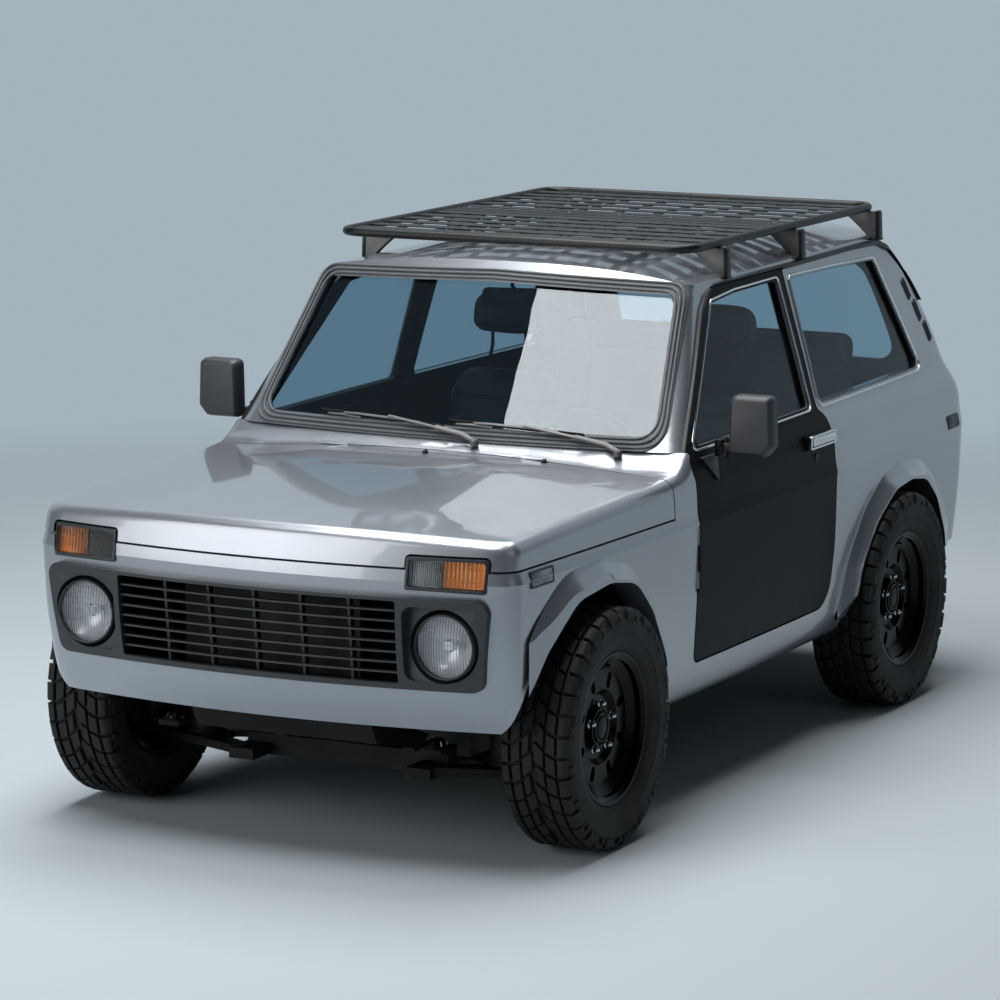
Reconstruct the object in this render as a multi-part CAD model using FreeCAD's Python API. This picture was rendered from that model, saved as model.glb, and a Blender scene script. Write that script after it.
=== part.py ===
import FreeCAD, Part
import math
import os
from FreeCAD import Vector

# A two-door off-road car on tall mud tyres, millimetres, +Z up, front towards -Y, its left side at +X.
# The origin is on the ground, on the plane of symmetry, half way along the overall length.

os.makedirs("parts", exist_ok=True)
doc = FreeCAD.newDocument("OffRoadCar")

SIZES = {
    "wheelbase": 2200, "axle_mid_y": -90, "half_track": 742,
    "tyre_radius": 348, "tyre_width": 216, "lug_count": 26, "lug_edge": 66, "lug_deep": 12, "rim_radius": 219, "rim_width": 172, "hub_bore": 49,
    "stud_circle": 139.7, "stud_count": 5, "dish_depth": 30,
    "kingpin_x": 700, "shaft_clear": 0.05, "seat_gap": 0.3,
    "sill_z": 296, "sill_crease_z": 386, "step_z": 832, "band_z": 874, "belt_z": 1045, "roof_side_z": 1484,
    "sill_half": 738, "crease_half": 783, "body_half": 803, "band_half": 806, "belt_half": 747, "roof_half": 620,
    "side_bow": 35400, "nose_y": -1789, "tail_y": 1806, "hood_z": 958, "roof_rise": 78,
    "wall": 45, "glass_wall": 38, "skin": 14, "roof_wall": 32, "hood_wall": 26, "glass": 5,
    "shut_gap": 6, "pin_radius": 2.7, "door_pin_x": 800, "hood_pin_z": 1013.5, "gate_pin_y": 1413, "shut_z": 868, "hood_rear_y": -700, "nose_seam_y": -1650, "valance_z": 408, "rear_valance_z": 440,
    "door_front_y": -546, "door_rear_y": 492, "pillar_y": 450, "door_bottom_z": 417, "door_top_z": 1474,
    "arch_top_z": 760, "rear_arch_top_z": 720, "flare_out": 24,
    "floor_z": 330, "floor_plate": 16,
    "rack_half": 610, "rack_front_y": -210, "rack_rear_y": 1290, "rack_z": 1608, "rack_tube": 14,
    "lamp_x": 573, "lamp_z": 657, "lamp_radius": 92,
    "rim_seat": 203, "rim_well": 190, "hub_flange": 82, "pin_out": 40, "rotor_radius": 134, "drum_radius": 126,
    "ball_low_z": 214, "ball_high_z": 482, "axle_tube": 38, "diff_radius": 118,
    "engine_wide": 480, "engine_long": 560, "engine_high": 420, "engine_z": 400, "engine_front_y": -1400,
    "radiator_wide": 560, "radiator_high": 300, "radiator_deep": 46, "radiator_z": 480,
    "seat_x": 372, "seat_wide": 470, "seat_z": 490, "steer_x": 345, "steer_radius": 190, "steer_grip": 13,
    "slat_wide": 62, "slat_thick": 12, "mirror_high": 186, "mirror_wide": 145, "mirror_deep": 58,
}


def make_sheet():
    page = doc.addObject("Spreadsheet::Sheet", "Sizes")
    for row, (word, number) in enumerate(SIZES.items(), 1):
        page.set("A%d" % row, word)
        page.set("B%d" % row, str(number))
        page.setAlias("B%d" % row, word)
    doc.recompute()
    return page


sheet = make_sheet()


def size(word):
    return float(sheet.get(word))


# Helpers for shapes

def feature(label, shape):
    item = doc.addObject("Part::Feature", label)
    item.Label = label
    solids = [s.copy() for s in shape.Solids]
    for s in solids:
        if s.Volume < 0:
            s.reverse()
    item.Shape = solids[0] if len(solids) == 1 else Part.makeCompound(solids)
    return item


def prism(points, low, high, along="X"):
    """Closed outline in the plane across an axis, extruded between two values of that axis."""
    place = {"X": lambda a, b: Vector(low, a, b), "Y": lambda a, b: Vector(a, low, b),
             "Z": lambda a, b: Vector(a, b, low)}[along]
    corners = [place(a, b) for a, b in points]
    way = {"X": Vector(high - low, 0, 0), "Y": Vector(0, high - low, 0), "Z": Vector(0, 0, high - low)}[along]
    solid = Part.Face(Part.makePolygon(corners + corners[:1])).extrude(way)
    if solid.Volume < 0:
        solid.reverse()
    return solid


def round_outline(points, radius):
    """Outline with each corner cut by an arc: points are (a, b) or (a, b, radius of that corner)."""
    edges = []
    count = len(points)
    ends = []
    for i in range(count):
        here = Vector(points[i][0], points[i][1], 0)
        back = Vector(points[i - 1][0], points[i - 1][1], 0) - here
        ahead = Vector(points[(i + 1) % count][0], points[(i + 1) % count][1], 0) - here
        r = points[i][2] if len(points[i]) > 2 else radius
        turn = back.getAngle(ahead)
        if r <= 0 or turn > math.pi - 0.02:
            ends.append((here, here, None))
            continue
        reach = min(r / math.tan(turn / 2), 0.49 * back.Length, 0.49 * ahead.Length)
        r = reach * math.tan(turn / 2)
        first = here + back.normalize() * reach
        last = here + ahead.normalize() * reach
        inward = (first + last) * 0.5 - here
        centre = here + inward.normalize() * (r / math.sin(turn / 2))
        middle = centre + (here - centre).normalize() * r
        ends.append((first, last, middle))
    for i in range(count):
        first, last, middle = ends[i]
        if middle is not None:
            edges.append(Part.Arc(first, middle, last).toShape())
        after = ends[(i + 1) % count][0]
        if (after - last).Length > 1e-4:
            edges.append(Part.LineSegment(last, after).toShape())
    return Part.Wire(edges)


TURN = {
    "X": FreeCAD.Matrix(0, 0, 1, 0, 1, 0, 0, 0, 0, 1, 0, 0, 0, 0, 0, 1),
    "Y": FreeCAD.Matrix(1, 0, 0, 0, 0, 0, 1, 0, 0, 1, 0, 0, 0, 0, 0, 1),
    "Z": FreeCAD.Matrix(),
}


def laid(wire, along, at):
    """A wire drawn flat, laid across the named axis at a value of it."""
    out = wire.copy()
    out.transformShape(TURN[along])
    shift = {"X": Vector(at, 0, 0), "Y": Vector(0, at, 0), "Z": Vector(0, 0, at)}[along]
    out.translate(shift)
    return out


def round_prism(points, radius, low, high, along="X"):
    way = {"X": Vector(high - low, 0, 0), "Y": Vector(0, high - low, 0), "Z": Vector(0, 0, high - low)}[along]
    solid = Part.Face(laid(round_outline(points, radius), along, low)).extrude(way)
    if solid.Volume < 0:
        solid.reverse()
    return solid


def box(x0, x1, y0, y1, z0, z1):
    return Part.makeBox(x1 - x0, y1 - y0, z1 - z0, Vector(x0, y0, z0))


def mirror(shape):
    return shape.mirror(Vector(0, 0, 0), Vector(1, 0, 0))


def pair(shape):
    return Part.makeCompound([shape, mirror(shape)])


def rod(start, end, radius):
    a, b = Vector(*start), Vector(*end)
    return Part.makeCylinder(radius, (b - a).Length, a, b - a)


def fused(shapes):
    return shapes[0].fuse(shapes[1:]) if len(shapes) > 1 else shapes[0]


# The outer form: level outlines from the sill to the roof

def side_drop(y):
    return y * y / (2 * size("side_bow"))


def level(z, half, front, rear, front_corner, rear_corner, front_bow, rear_bow):
    """One closed outline in plan: front arc, corner, long side arc, corner, rear arc and the same back."""
    def side_x(y):
        return half - side_drop(y)
    fx = side_x(front) - front_corner
    fb = front_bow * fx * fx
    fy = front + fb
    sy = fy + front_corner * 0.9
    rx = side_x(rear) - rear_corner
    rb = rear_bow * rx * rx
    ry = rear - rb
    ty = ry - rear_corner * 0.9

    def crossing(px, py, slope, qx, qy, lean):
        # a line of dy/dx = slope through p meets a line of dx/dy = lean through q
        y = (py + slope * (qx - px) - slope * lean * qy) / (1 - slope * lean)
        return qx + lean * (y - qy), y

    fcx, fcy = crossing(fx, fy, 2 * fb / fx, side_x(sy), sy, -sy / size("side_bow"))
    rcx, rcy = crossing(rx, ry, -2 * rb / rx, side_x(ty), ty, -ty / size("side_bow"))

    def v(x, y):
        return Vector(x, y, z)

    def bend(*points):
        curve = Part.BezierCurve()
        curve.setPoles([v(*p) for p in points])
        return curve.toShape()

    mid, waist = (sy + ty) / 2, half - sy * ty / (2 * size("side_bow"))
    return Part.Wire([
        bend((-fx, fy), (0, front - fb), (fx, fy)),
        bend((fx, fy), (fcx, fcy), (side_x(sy), sy)),
        bend((side_x(sy), sy), (waist, mid), (side_x(ty), ty)),
        bend((side_x(ty), ty), (rcx, rcy), (rx, ry)),
        bend((rx, ry), (0, rear + rb), (-rx, ry)),
        bend((-rx, ry), (-rcx, rcy), (-side_x(ty), ty)),
        bend((-side_x(ty), ty), (-waist, mid), (-side_x(sy), sy)),
        bend((-side_x(sy), sy), (-fcx, fcy), (-fx, fy)),
    ])


def smooth(table, at, column=1):
    """Value of a column at a place along a table, on a curve that never overshoots its points."""
    xs = [row[0] for row in table]
    ys = [row[column] for row in table]
    steps = [(y1 - y0) / (x1 - x0) for x0, x1, y0, y1 in zip(xs, xs[1:], ys, ys[1:])]
    slopes = [steps[0]]
    for before, after in zip(steps, steps[1:]):
        slopes.append(0.0 if before * after <= 0 else 2 * before * after / (before + after))
    slopes.append(steps[-1])
    at = min(max(at, xs[0]), xs[-1])
    i = max(k for k in range(len(steps)) if xs[k] <= at)
    width = xs[i + 1] - xs[i]
    t = (at - xs[i]) / width
    return (ys[i] * (1 + 2 * t) * (1 - t) ** 2 + slopes[i] * width * t * (1 - t) ** 2
            + ys[i + 1] * t * t * (3 - 2 * t) + slopes[i + 1] * width * t * t * (t - 1))


def even(low, high, count):
    return [low + (high - low) * i / (count - 1) for i in range(count)]


def lower_levels():
    nose, tail, mid = size("nose_y"), size("tail_y"), size("body_half")
    low, crease, top = size("sill_z"), size("sill_crease_z"), size("step_z")
    return [
        (low, size("sill_half"), nose + 108, tail - 74),
        (low + 34, size("crease_half") - 16, nose + 98, tail - 64),
        (crease, size("crease_half"), nose + 80, tail - 54),
        (crease + 114, mid - 12, nose + 40, tail - 28),
        (crease + 274, mid - 4, nose + 11, tail - 8),
        (top, mid, nose, tail),
    ]


def cabin_levels():
    """Half width and rear end of the upper body; its front is the raked windscreen."""
    tail, belt, roof = size("tail_y"), size("belt_z"), size("roof_side_z")
    top, wide = size("step_z"), size("band_half")
    lean = (size("belt_half") - size("roof_half")) / (roof - belt)
    return [
        (top, wide, tail),
        (size("band_z"), wide - 9, tail - 5),
        (belt - 115, wide - 13, tail - 20),
        (belt - 75, wide - 22, tail - 36),
        (belt - 40, wide - 39, tail - 56),
        (belt, size("belt_half"), tail - 79),
        (belt + 135, size("belt_half") - 135 * lean, tail - 151),
        (belt + 285, size("belt_half") - 285 * lean, tail - 256),
        (roof - 60, size("roof_half") + 60 * lean, tail - 356),
        (roof, size("roof_half"), tail - 431),
    ]


def screen_y(z):
    return -653 + 0.785 * (z - 1039)


SCREEN_BOW = 1.46e-4
NOSE_BOW = 1.6e-4
TAIL_BOW = 5e-5
cache = {}


def lofted(name, wires):
    if name not in cache:
        solid = Part.makeLoft(wires, True, False)
        if solid.Volume < 0:
            solid.reverse()
        cache[name] = solid
    return cache[name]


def lower_form(inset=0.0):
    table = lower_levels()
    wires = [level(z, smooth(table, z) - inset, smooth(table, z, 2) + inset, smooth(table, z, 3) - inset,
                   78, 150 - inset, NOSE_BOW, TAIL_BOW)
             for z in even(table[0][0], table[-1][0], 11)]
    return lofted("lower%g" % inset, wires)


def cabin_form(inset=0.0):
    corner = [(832, 160), (1005, 120), (1180, 75), (1484, 60)]
    table = cabin_levels()
    wires = [level(z, smooth(table, z) - inset, screen_y(z) + inset, smooth(table, z, 2) - inset,
                   62, smooth(corner, z), SCREEN_BOW, TAIL_BOW)
             for z in even(table[0][0], table[-1][0], 17)]
    return lofted("cabin%g" % inset, wires)


def skin(height, x_half, y_low, y_high, columns=15, rows=15):
    """A smooth sheet over the car from a height function of x and y, on an even grid."""
    grid = [[Vector(x, y, height(x, y)) for x in even(-x_half, x_half, columns)] for y in even(y_low, y_high, rows)]
    surface = Part.BSplineSurface()
    surface.interpolate(grid)
    return surface.toShape()


def hood_height(x, y):
    """Flat and crowned, with a raised middle, rising to the foot of the windscreen."""
    rows = [(-1900, 953, 932), (-1500, 979, 955), (-1100, 997, 970), (-790, 1006, 980), (-720, 1012, 990),
            (-650, 1042, 1032), (-450, 1150, 1148)]
    along = y - SCREEN_BOW * x * x
    middle, edge = smooth(rows, along), smooth(rows, along, 2)
    bulge = 9 / (1 + math.exp((abs(x) - 430) / 28)) / (1 + math.exp(-(y + 1560) / 60)) / (1 + math.exp((along + 770) / 22))
    return middle - (middle - edge) * (abs(x) / 790.0) ** 2.2 + bulge + size("hood_z") - 958


def hood_form(inset=0.0):
    """Front of the car above the step: the nose, both shoulders and the crowned top with its rolled edge."""
    key = "hoodform%g" % inset
    if key in cache:
        return cache[key]
    nose, wide, top = size("nose_y"), size("band_half"), size("step_z")
    table = [(top, wide, nose), (size("band_z"), wide - 9, nose + 6), (top + 98, wide - 12, nose + 20),
             (top + 150, wide - 20, nose + 40), (top + 260, wide - 36, nose + 90)]
    wires = [level(z, smooth(table, z) - inset, smooth(table, z, 2) + inset, -300, 78, 60, NOSE_BOW, TAIL_BOW)
             for z in even(top, top + 260, 7)]
    block = Part.makeLoft(wires, True, False)
    if block.Volume < 0:
        block.reverse()
    lid = skin(lambda x, y: hood_height(x, y) - inset * 0.6, 860, -1880, -480, 29, 29)
    block = block.cut(lid.extrude(Vector(0, 0, 600))).cut(box(-900, 900, -520, 0, 700, 1300))
    if inset == 0:
        edges = [e for e in block.Edges if e.BoundBox.ZMin > top + 100 and e.BoundBox.YMin < -600]
        block = block.makeFillet(42, edges)
    cache[key] = block
    return block


def roof_form(drop=0.0, inset=0.0):
    key = "roofform%g" % drop
    if key in cache:
        return cache[key]
    base, half, rise = size("roof_side_z"), size("roof_half"), size("roof_rise")
    shares = [(-460, 0.42), (-300, 0.56), (-100, 0.80), (200, 0.97), (550, 1.0), (900, 0.92), (1200, 0.72), (1500, 0.40)]

    def height(x, y):
        share = smooth(shares, y)
        return base + 2 + rise * share * (1 - (abs(x) / half) ** 2.6) - drop + 8 * share

    sheet_face = skin(height, 680, -460, 1500, 21, 21)
    _, top_half, rear = cabin_levels()[-1]
    low, high = base + size("seat_gap"), base + 160
    rings = [level(z, top_half - inset, screen_y(z) + inset, rear - inset, 62, 60, SCREEN_BOW, TAIL_BOW)
             for z in (low, high)]
    block = Part.makeLoft(rings, True, True)
    if block.Volume < 0:
        block.reverse()
    block = block.cut(sheet_face.extrude(Vector(0, 0, 300)))
    cache[key] = block
    return block


# Outlines, seen from the side as (y, z) or from the front as (x, z), with a corner radius where it has its own

DOOR = [(-546, 417, 25), (-546, 960, 0), (-566, 1008, 30), (-204, 1404, 60), (-92, 1472, 50),
        (450, 1472, 6), (450, 1034, 30), (486, 1012, 28), (492, 880, 0), (494, 600, 300), (470, 417, 110)]
DOOR_GLASS = [(-480, 1044, 22), (-116, 1428, 30), (60, 1441, 0), (392, 1444, 20), (398, 1050, 26)]
QUARTER_GLASS = [(486, 1050, 30), (494, 1440, 26), (850, 1435, 0), (1222, 1424, 30), (1402, 1054, 34)]
FRONT_ARCH = [(-742, 200, 0), (-790, 380, 0), (-835, 500, 120), (-925, 640, 160), (-1040, 742, 150),
              (-1190, 766, 150), (-1370, 745, 160), (-1520, 630, 220), (-1625, 500, 160), (-1640, 380, 0),
              (-1640, 200, 0)]
REAR_ARCH = [(600, 200, 0), (624, 355, 60), (682, 517, 200), (784, 642, 160), (926, 718, 160), (1075, 732, 160),
             (1220, 712, 160), (1350, 625, 160), (1450, 500, 200), (1490, 420, 60), (1500, 200, 0)]
SCREEN = [(-700, 1042, 62), (700, 1042, 62), (618, 1500, 58), (0, 1516, 0), (-618, 1500, 58)]
GATE = [(-640, 545, 40), (640, 545, 40), (640, 940, 200), (560, 1452, 60), (-560, 1452, 60), (-640, 940, 200)]
GATE_GLASS = [(-520, 1030, 60), (520, 1030, 60), (470, 1390, 60), (-470, 1390, 60)]
GRILLE_PANEL = [(-676, 531, 34), (676, 531, 34), (706, 791, 38), (-706, 791, 38)]
GRILLE_OPENING = [(-440, 547, 8), (440, 547, 8), (443, 781, 8), (-443, 781, 8)]
TURN_LAMP = [(462, 812, 8), (692, 808, 10), (694, 902, 12), (464, 902, 8)]


def outline_solid(points, by, radius, low, high, along="X"):
    """Prism of a rounded outline, offset by a clearance that keeps its arcs."""
    wire = round_outline(points, radius)
    if abs(by) > 1e-6:
        wire = wire.makeOffset2D(by, 0, False, False)
    way = {"X": Vector(high - low, 0, 0), "Y": Vector(0, high - low, 0), "Z": Vector(0, 0, high - low)}[along]
    solid = Part.Face(laid(wire, along, low)).extrude(way)
    if solid.Volume < 0:
        solid.reverse()
    return solid


def lower_wall():
    if "lowerwall" not in cache:
        cache["lowerwall"] = lower_form().cut(lower_form(size("wall")).fuse(box(-600, 600, -1500, 1500, 250, 330)))
    return cache["lowerwall"]


def cabin_wall():
    if "cabinwall" not in cache:
        cache["cabinwall"] = cabin_form().cut(cabin_form(size("glass_wall")))
    return cache["cabinwall"]


def hood_wall():
    if "hoodwall" not in cache:
        cache["hoodwall"] = hood_form().cut(hood_form(size("wall")))
    return cache["hoodwall"]


def moved_out(points, by):
    """The points of an outline moved outwards by a mitre, their corner radii grown to match."""
    count = len(points)
    area = sum(points[i - 1][0] * points[i][1] - points[i][0] * points[i - 1][1] for i in range(count))
    turn = 1 if area > 0 else -1
    out = []
    for i in range(count):
        (a0, b0), (a, b), (a1, b1) = points[i - 1][:2], points[i][:2], points[(i + 1) % count][:2]
        before, after = math.hypot(a - a0, b - b0), math.hypot(a1 - a, b1 - b)
        n0 = ((b - b0) / before * turn, -(a - a0) / before * turn)
        n1 = ((b1 - b) / after * turn, -(a1 - a) / after * turn)
        stretch = by / (1 + n0[0] * n1[0] + n0[1] * n1[1])
        radius = points[i][2]
        out.append((a + (n0[0] + n1[0]) * stretch, b + (n0[1] + n1[1]) * stretch, radius + by if radius else 0))
    return out


def flare(points, table, radii):
    """Rolled lip round a wheel arch: it leaves the side in a hollow curve and ends at the lip."""
    rings = [laid(round_outline(moved_out(points, by), 0), "X", x) for by, x in radii]
    cone = Part.makeLoft(rings, True, True)
    if cone.Volume < 0:
        cone.reverse()
    plan = [(690, table[0][0])] + [(x, y) for y, x in table] + [(690, table[-1][0])]
    return cone.common(prism(plan, 200, 1000, "Z"))


# Body panels

def pin_row(start, end, anchor):
    """A hinge pin lying in a shut gap, and the thin leaf that holds it to the panel behind."""
    return rod(start, end, size("pin_radius")).fuse(anchor)


def front_fender():
    gap, step = size("shut_gap"), size("step_z")
    seam, door_edge = size("nose_seam_y") + 0.3, size("door_front_y") - gap
    side = lower_wall().common(box(300, 1000, seam, door_edge, size("sill_z") - 5, step))
    upper = hood_wall().common(box(600, 1000, seam, size("hood_rear_y") - 0.3, step, size("shut_z") - gap / 2))
    lip = flare(FRONT_ARCH, [(-1640, 762), (-1590, 776), (-1500, 791), (-1327, 811), (-1156, 821), (-994, 827),
                             (-830, 824), (-742, 812), (-650, 796)], [(92, 770), (58, 786), (26, 807), (0, 831)])
    lip = lip.common(prism([(700, 330), (770, 330), (812, 430), (840, 520), (840, 900), (700, 900)], seam, door_edge, "Y"))
    panel = side.fuse([upper, lip]).cut(outline_solid(FRONT_ARCH, 0, 60, 300, 900))
    panel = panel.cut(box(300, 1000, -1700, -1500, 200, size("valance_z")))
    x, y = size("door_pin_x"), size("door_front_y") - gap / 2
    pins = [pin_row((x, y, z), (x, y, z + 50), box(x - 7, x + 1, y - gap / 2 - 0.2, y, z, z + 50)) for z in (640, 770)]
    return panel.fuse(pins)


def cowl():
    rear = size("door_front_y") - size("shut_gap")
    scuttle = hood_wall().common(box(-1000, 1000, size("hood_rear_y"), rear, size("step_z"), 1040))
    edge = outline_solid(DOOR, size("shut_gap"), 0, 500, 1000)
    y, z = size("hood_rear_y") - size("shut_gap") / 2, size("hood_pin_z")
    pins = [pin_row((x, y, z), (x + 70, y, z), box(x, x + 70, y, y + size("shut_gap") + 8, z - 8, z)) for x in (-360, 290)]
    return scuttle.cut(edge.fuse(mirror(edge))).fuse(pins)


def lamp_form(inset):
    rows = [(806, 1787), (906, 1772)]
    wires = [level(z, size("band_half") - 8 - inset, -y + inset, 0, 78, 60, NOSE_BOW, TAIL_BOW) for z, y in rows]
    return Part.makeLoft(wires, True, True)


def turn_lamps():
    slab = lamp_form(-9).cut(lamp_form(30))
    return pair(slab.common(outline_solid(TURN_LAMP, 0, 10, -1900, -1600, "Y")))


def lamp_notch(gap):
    one = outline_solid(TURN_LAMP, gap, 10, -1900, -1500, "Y")
    return one.fuse(mirror(one))


def hood():
    gap = size("shut_gap")
    zone = box(-1000, 1000, -2000, size("hood_rear_y") - gap, size("shut_z") + gap / 2, 1300)
    shell = hood_form().cut(hood_form(size("hood_wall"))).common(zone)
    return shell.cut(lamp_notch(gap))


def nose_panel():
    seam, step = size("nose_seam_y"), size("step_z")
    low = lower_form().common(box(-1000, 1000, -2000, seam, size("valance_z"), step)).cut(lower_form(size("wall")))
    high = hood_form().common(box(-1000, 1000, -2000, seam, step, size("shut_z") - 3)).cut(hood_form(size("wall")))
    shell = low.fuse(high)
    shell = shell.cut(outline_solid(GRILLE_PANEL, -24, 30, -1900, -1500, "Y"))
    shell = shell.cut(outline_solid(GRILLE_OPENING, 8, 8, -1900, -1500, "Y"))
    return shell.cut(lamp_notch(0.3))


def nose_at(z):
    """Foremost point of the nose at a height, on the plane of symmetry."""
    return smooth(lower_levels(), z, 2)


def arched(x0, x1, y, deep, z0, z1):
    """A flat slat that follows the bow of the nose."""
    def bowed(back):
        return [Vector(x0, y + back + NOSE_BOW * x0 * x0, z0), Vector(0, y + back, z0),
                Vector(x1, y + back + NOSE_BOW * x1 * x1, z0)]
    front, rear = bowed(0), bowed(deep)
    wire = Part.Wire([Part.Arc(*front).toShape(), Part.LineSegment(front[2], rear[2]).toShape(),
                      Part.Arc(*reversed(rear)).toShape(), Part.LineSegment(rear[0], front[0]).toShape()])
    solid = Part.Face(wire).extrude(Vector(0, 0, z1 - z0))
    if solid.Volume < 0:
        solid.reverse()
    return solid


def grille_panel():
    front = lower_form(-24)
    plate = front.cut(lower_form(-0.3)).common(outline_solid(GRILLE_PANEL, 0, 30, -1900, -1500, "Y"))
    back = front.cut(lower_form(34)).common(outline_solid(GRILLE_PANEL, -24.3, 30, -1900, -1500, "Y"))
    panel = plate.fuse(back).cut(outline_solid(GRILLE_OPENING, 0, 8, -1900, -1500, "Y"))
    x, z, r = size("lamp_x"), size("lamp_z"), size("lamp_radius")
    for side in (-1, 1):
        square = [(side * 460, 556, 30), (side * 664, 556, 40), (side * 688, 768, 40), (side * 460, 768, 30)]
        pocket = outline_solid(square if side > 0 else square[::-1], 0, 30, -1900, -1738, "Y")
        cone = Part.makeCone(r + 18, r + 3, 60, Vector(side * x, -1760, z), Vector(0, 1, 0))
        hole = Part.makeCylinder(r + 3, 300, Vector(side * x, -1740, z), Vector(0, 1, 0))
        panel = panel.cut(pocket.fuse([cone, hole]))
    heights = [547 + (781 - 547) * (i + 1) / 8.0 for i in range(7)]
    parts = [arched(-443, 443, nose_at(z) - 12, 20, z - 2.5, z + 2.5) for z in heights]
    for x in (-293, -147, 0, 147, 293):
        low, high = nose_at(547) + NOSE_BOW * x * x, nose_at(781) + NOSE_BOW * x * x
        parts.append(prism([(low + 2, 546), (low + 24, 546), (high + 24, 782), (high + 2, 782)], x - 4, x + 4))
    return panel.fuse(parts)


def headlamps():
    r = size("lamp_radius")
    rim = Vector(size("lamp_x"), -1728, size("lamp_z"))
    bowl = Part.makeCylinder(r, 30, rim, Vector(0, 1, 0))
    back = Part.makeCone(r, 30, 60, rim + Vector(0, 30, 0), Vector(0, 1, 0))
    dome_r = 290.0
    sink = dome_r - math.sqrt(dome_r ** 2 - r ** 2)
    dome = Part.makeSphere(dome_r, rim + Vector(0, dome_r - sink, 0))
    dome = dome.common(Part.makeCylinder(r, 40, rim + Vector(0, -40, 0), Vector(0, 1, 0)))
    return pair(bowl.fuse([back, dome]))


def side_panel():
    """Sill, rear quarter, pillars and roof rail of the left side, in one piece."""
    gap, step, top = size("shut_gap"), size("step_z"), size("roof_side_z")
    front = size("door_front_y") - gap + 0.3
    low = lower_wall().common(box(0, 1000, front, 2000, 200, step))
    high = cabin_wall().common(box(0, 1000, front, 2000, step, top))
    pillar = cabin_wall().common(box(0, 1000, -900, front, 1040.3, top))
    lip = flare(REAR_ARCH, [(560, 806), (700, 821), (800, 828), (900, 829), (1028, 827), (1172, 822), (1315, 812),
                            (1452, 795), (1520, 780)], [(88, 768), (56, 786), (26, 807), (0, 833)])
    lip = lip.common(prism([(700, 350), (778, 350), (815, 420), (840, 500), (840, 900), (700, 900)], 540, 1540, "Y"))
    panel = low.fuse([high, pillar, lip])
    panel = panel.cut(outline_solid(DOOR, gap, 20, 400, 1000))
    panel = panel.cut(outline_solid(QUARTER_GLASS, 0, 20, 300, 1000))
    panel = panel.cut(outline_solid(REAR_ARCH, 0, 60, 300, 1000))
    panel = panel.cut(outline_solid(SCREEN, 0, 50, -900, 0, "Y"))
    panel = panel.cut(outline_solid(GATE, gap, 50, 1000, 2000, "Y"))
    panel = panel.cut(box(-1, 640.3, 1000, 2000, 200, 540))
    panel = panel.cut(box(0, 1000, 1400, 2000, 200, size("rear_valance_z")))
    panel = panel.cut(box(-1, 570, -900, 1330, 1300, 1600))
    y, z = size("gate_pin_y"), GATE[3][1] + gap / 2
    return panel.fuse(pin_row((300, y, z), (360, y, z), box(300, 360, y - 18, y, z, z + gap)))


def rear_panel():
    return lower_wall().common(box(-640, 640, 1500, 2000, size("rear_valance_z"), 539))


def band(path, half):
    """Closed outline of a strip that follows a path in its plane."""
    left, right = [], []
    for i, (a, b) in enumerate(path):
        a0, b0 = path[max(i - 1, 0)]
        a1, b1 = path[min(i + 1, len(path) - 1)]
        length = math.hypot(a1 - a0, b1 - b0)
        across, up = -(b1 - b0) / length * half, (a1 - a0) / length * half
        left.append((a + across, b + up))
        right.append((a - across, b - up))
    return left + right[::-1]


def drip_rails():
    """The black rain rail: up the windscreen pillar, along the roof's side and down the rear pillar."""
    path = [(-575, 1004), (-478, 1114), (-340, 1260), (-206, 1410), (-150, 1450), (-70, 1474), (450, 1478),
            (1045, 1480), (1290, 1474), (1400, 1440), (1492, 1372), (1560, 1260)]
    strip = cabin_form(-9).cut(cabin_form(-0.2)).common(prism(band(path, 7), 300, 1000))
    strip = strip.cut(outline_solid(DOOR, size("shut_gap"), 0, 300, 1000))
    strip = strip.cut(outline_solid(GATE, size("shut_gap"), 50, 1000, 2000, "Y"))
    return pair(strip.cut(box(300, 1000, -800, size("door_front_y") - 5.7, 900, 1040.3)))


def roof():
    return roof_form().cut(roof_form(size("roof_wall"), size("glass_wall"))).cut(
        outline_solid(SCREEN, 0, 50, -900, 0, "Y"))


def door():
    lower = lower_form().cut(lower_form(52)).common(box(0, 1000, -700, 700, 300, size("step_z")))
    upper = cabin_form().cut(cabin_form(size("glass_wall") - 2)).common(box(0, 1000, -700, 700, size("step_z"), 1500))
    leaf = lower.fuse(upper).common(outline_solid(DOOR, 0, 20, 300, 1000))
    inner = cabin_form(size("skin")).fuse(lower_form(size("skin")).common(box(0, 1000, -700, 700, 300, size("step_z"))))
    rim = outline_solid(DOOR, 2, 20, 300, 1000).cut(outline_solid(DOOR, -12, 20, 300, 1000))
    handle = box(770, 800, 264, 470, 934, 980).common(lower_form(-9).fuse(cabin_form(-9)))
    leaf = leaf.cut(outline_solid(DOOR_GLASS, 0, 20, 300, 1000)).cut(rim.common(inner))
    return leaf.fuse(handle)


def pane(points, radius=20, deep=14):
    slab = cabin_form(deep).cut(cabin_form(deep + size("glass")))
    return slab.common(outline_solid(points, -size("seat_gap"), radius, 0, 1000))


def screen_form(inset):
    wires = [level(z, size("belt_half") - (z - size("belt_z")) * 0.2893 - inset, screen_y(z) + inset, 1200,
                   62, 60, SCREEN_BOW, TAIL_BOW) for z in even(1000, 1600, 9)]
    return lofted("screen%g" % inset, wires)


def windscreen_seal():
    ring = outline_solid(SCREEN, -0.3, 50, -900, 0, "Y").cut(outline_solid(SCREEN, -36, 30, -900, 0, "Y"))
    reach = prism([(screen_y(z) + by, z) for z, by in ((1000, -40), (1560, -40), (1560, 95), (1000, 95))], -800, 800)
    return screen_form(-5).cut(screen_form(20)).common(ring).common(reach)


def windscreen_glass():
    return screen_form(6).cut(screen_form(6 + size("glass"))).common(
        outline_solid(SCREEN, -36.3, 30, -900, 0, "Y"))


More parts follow.
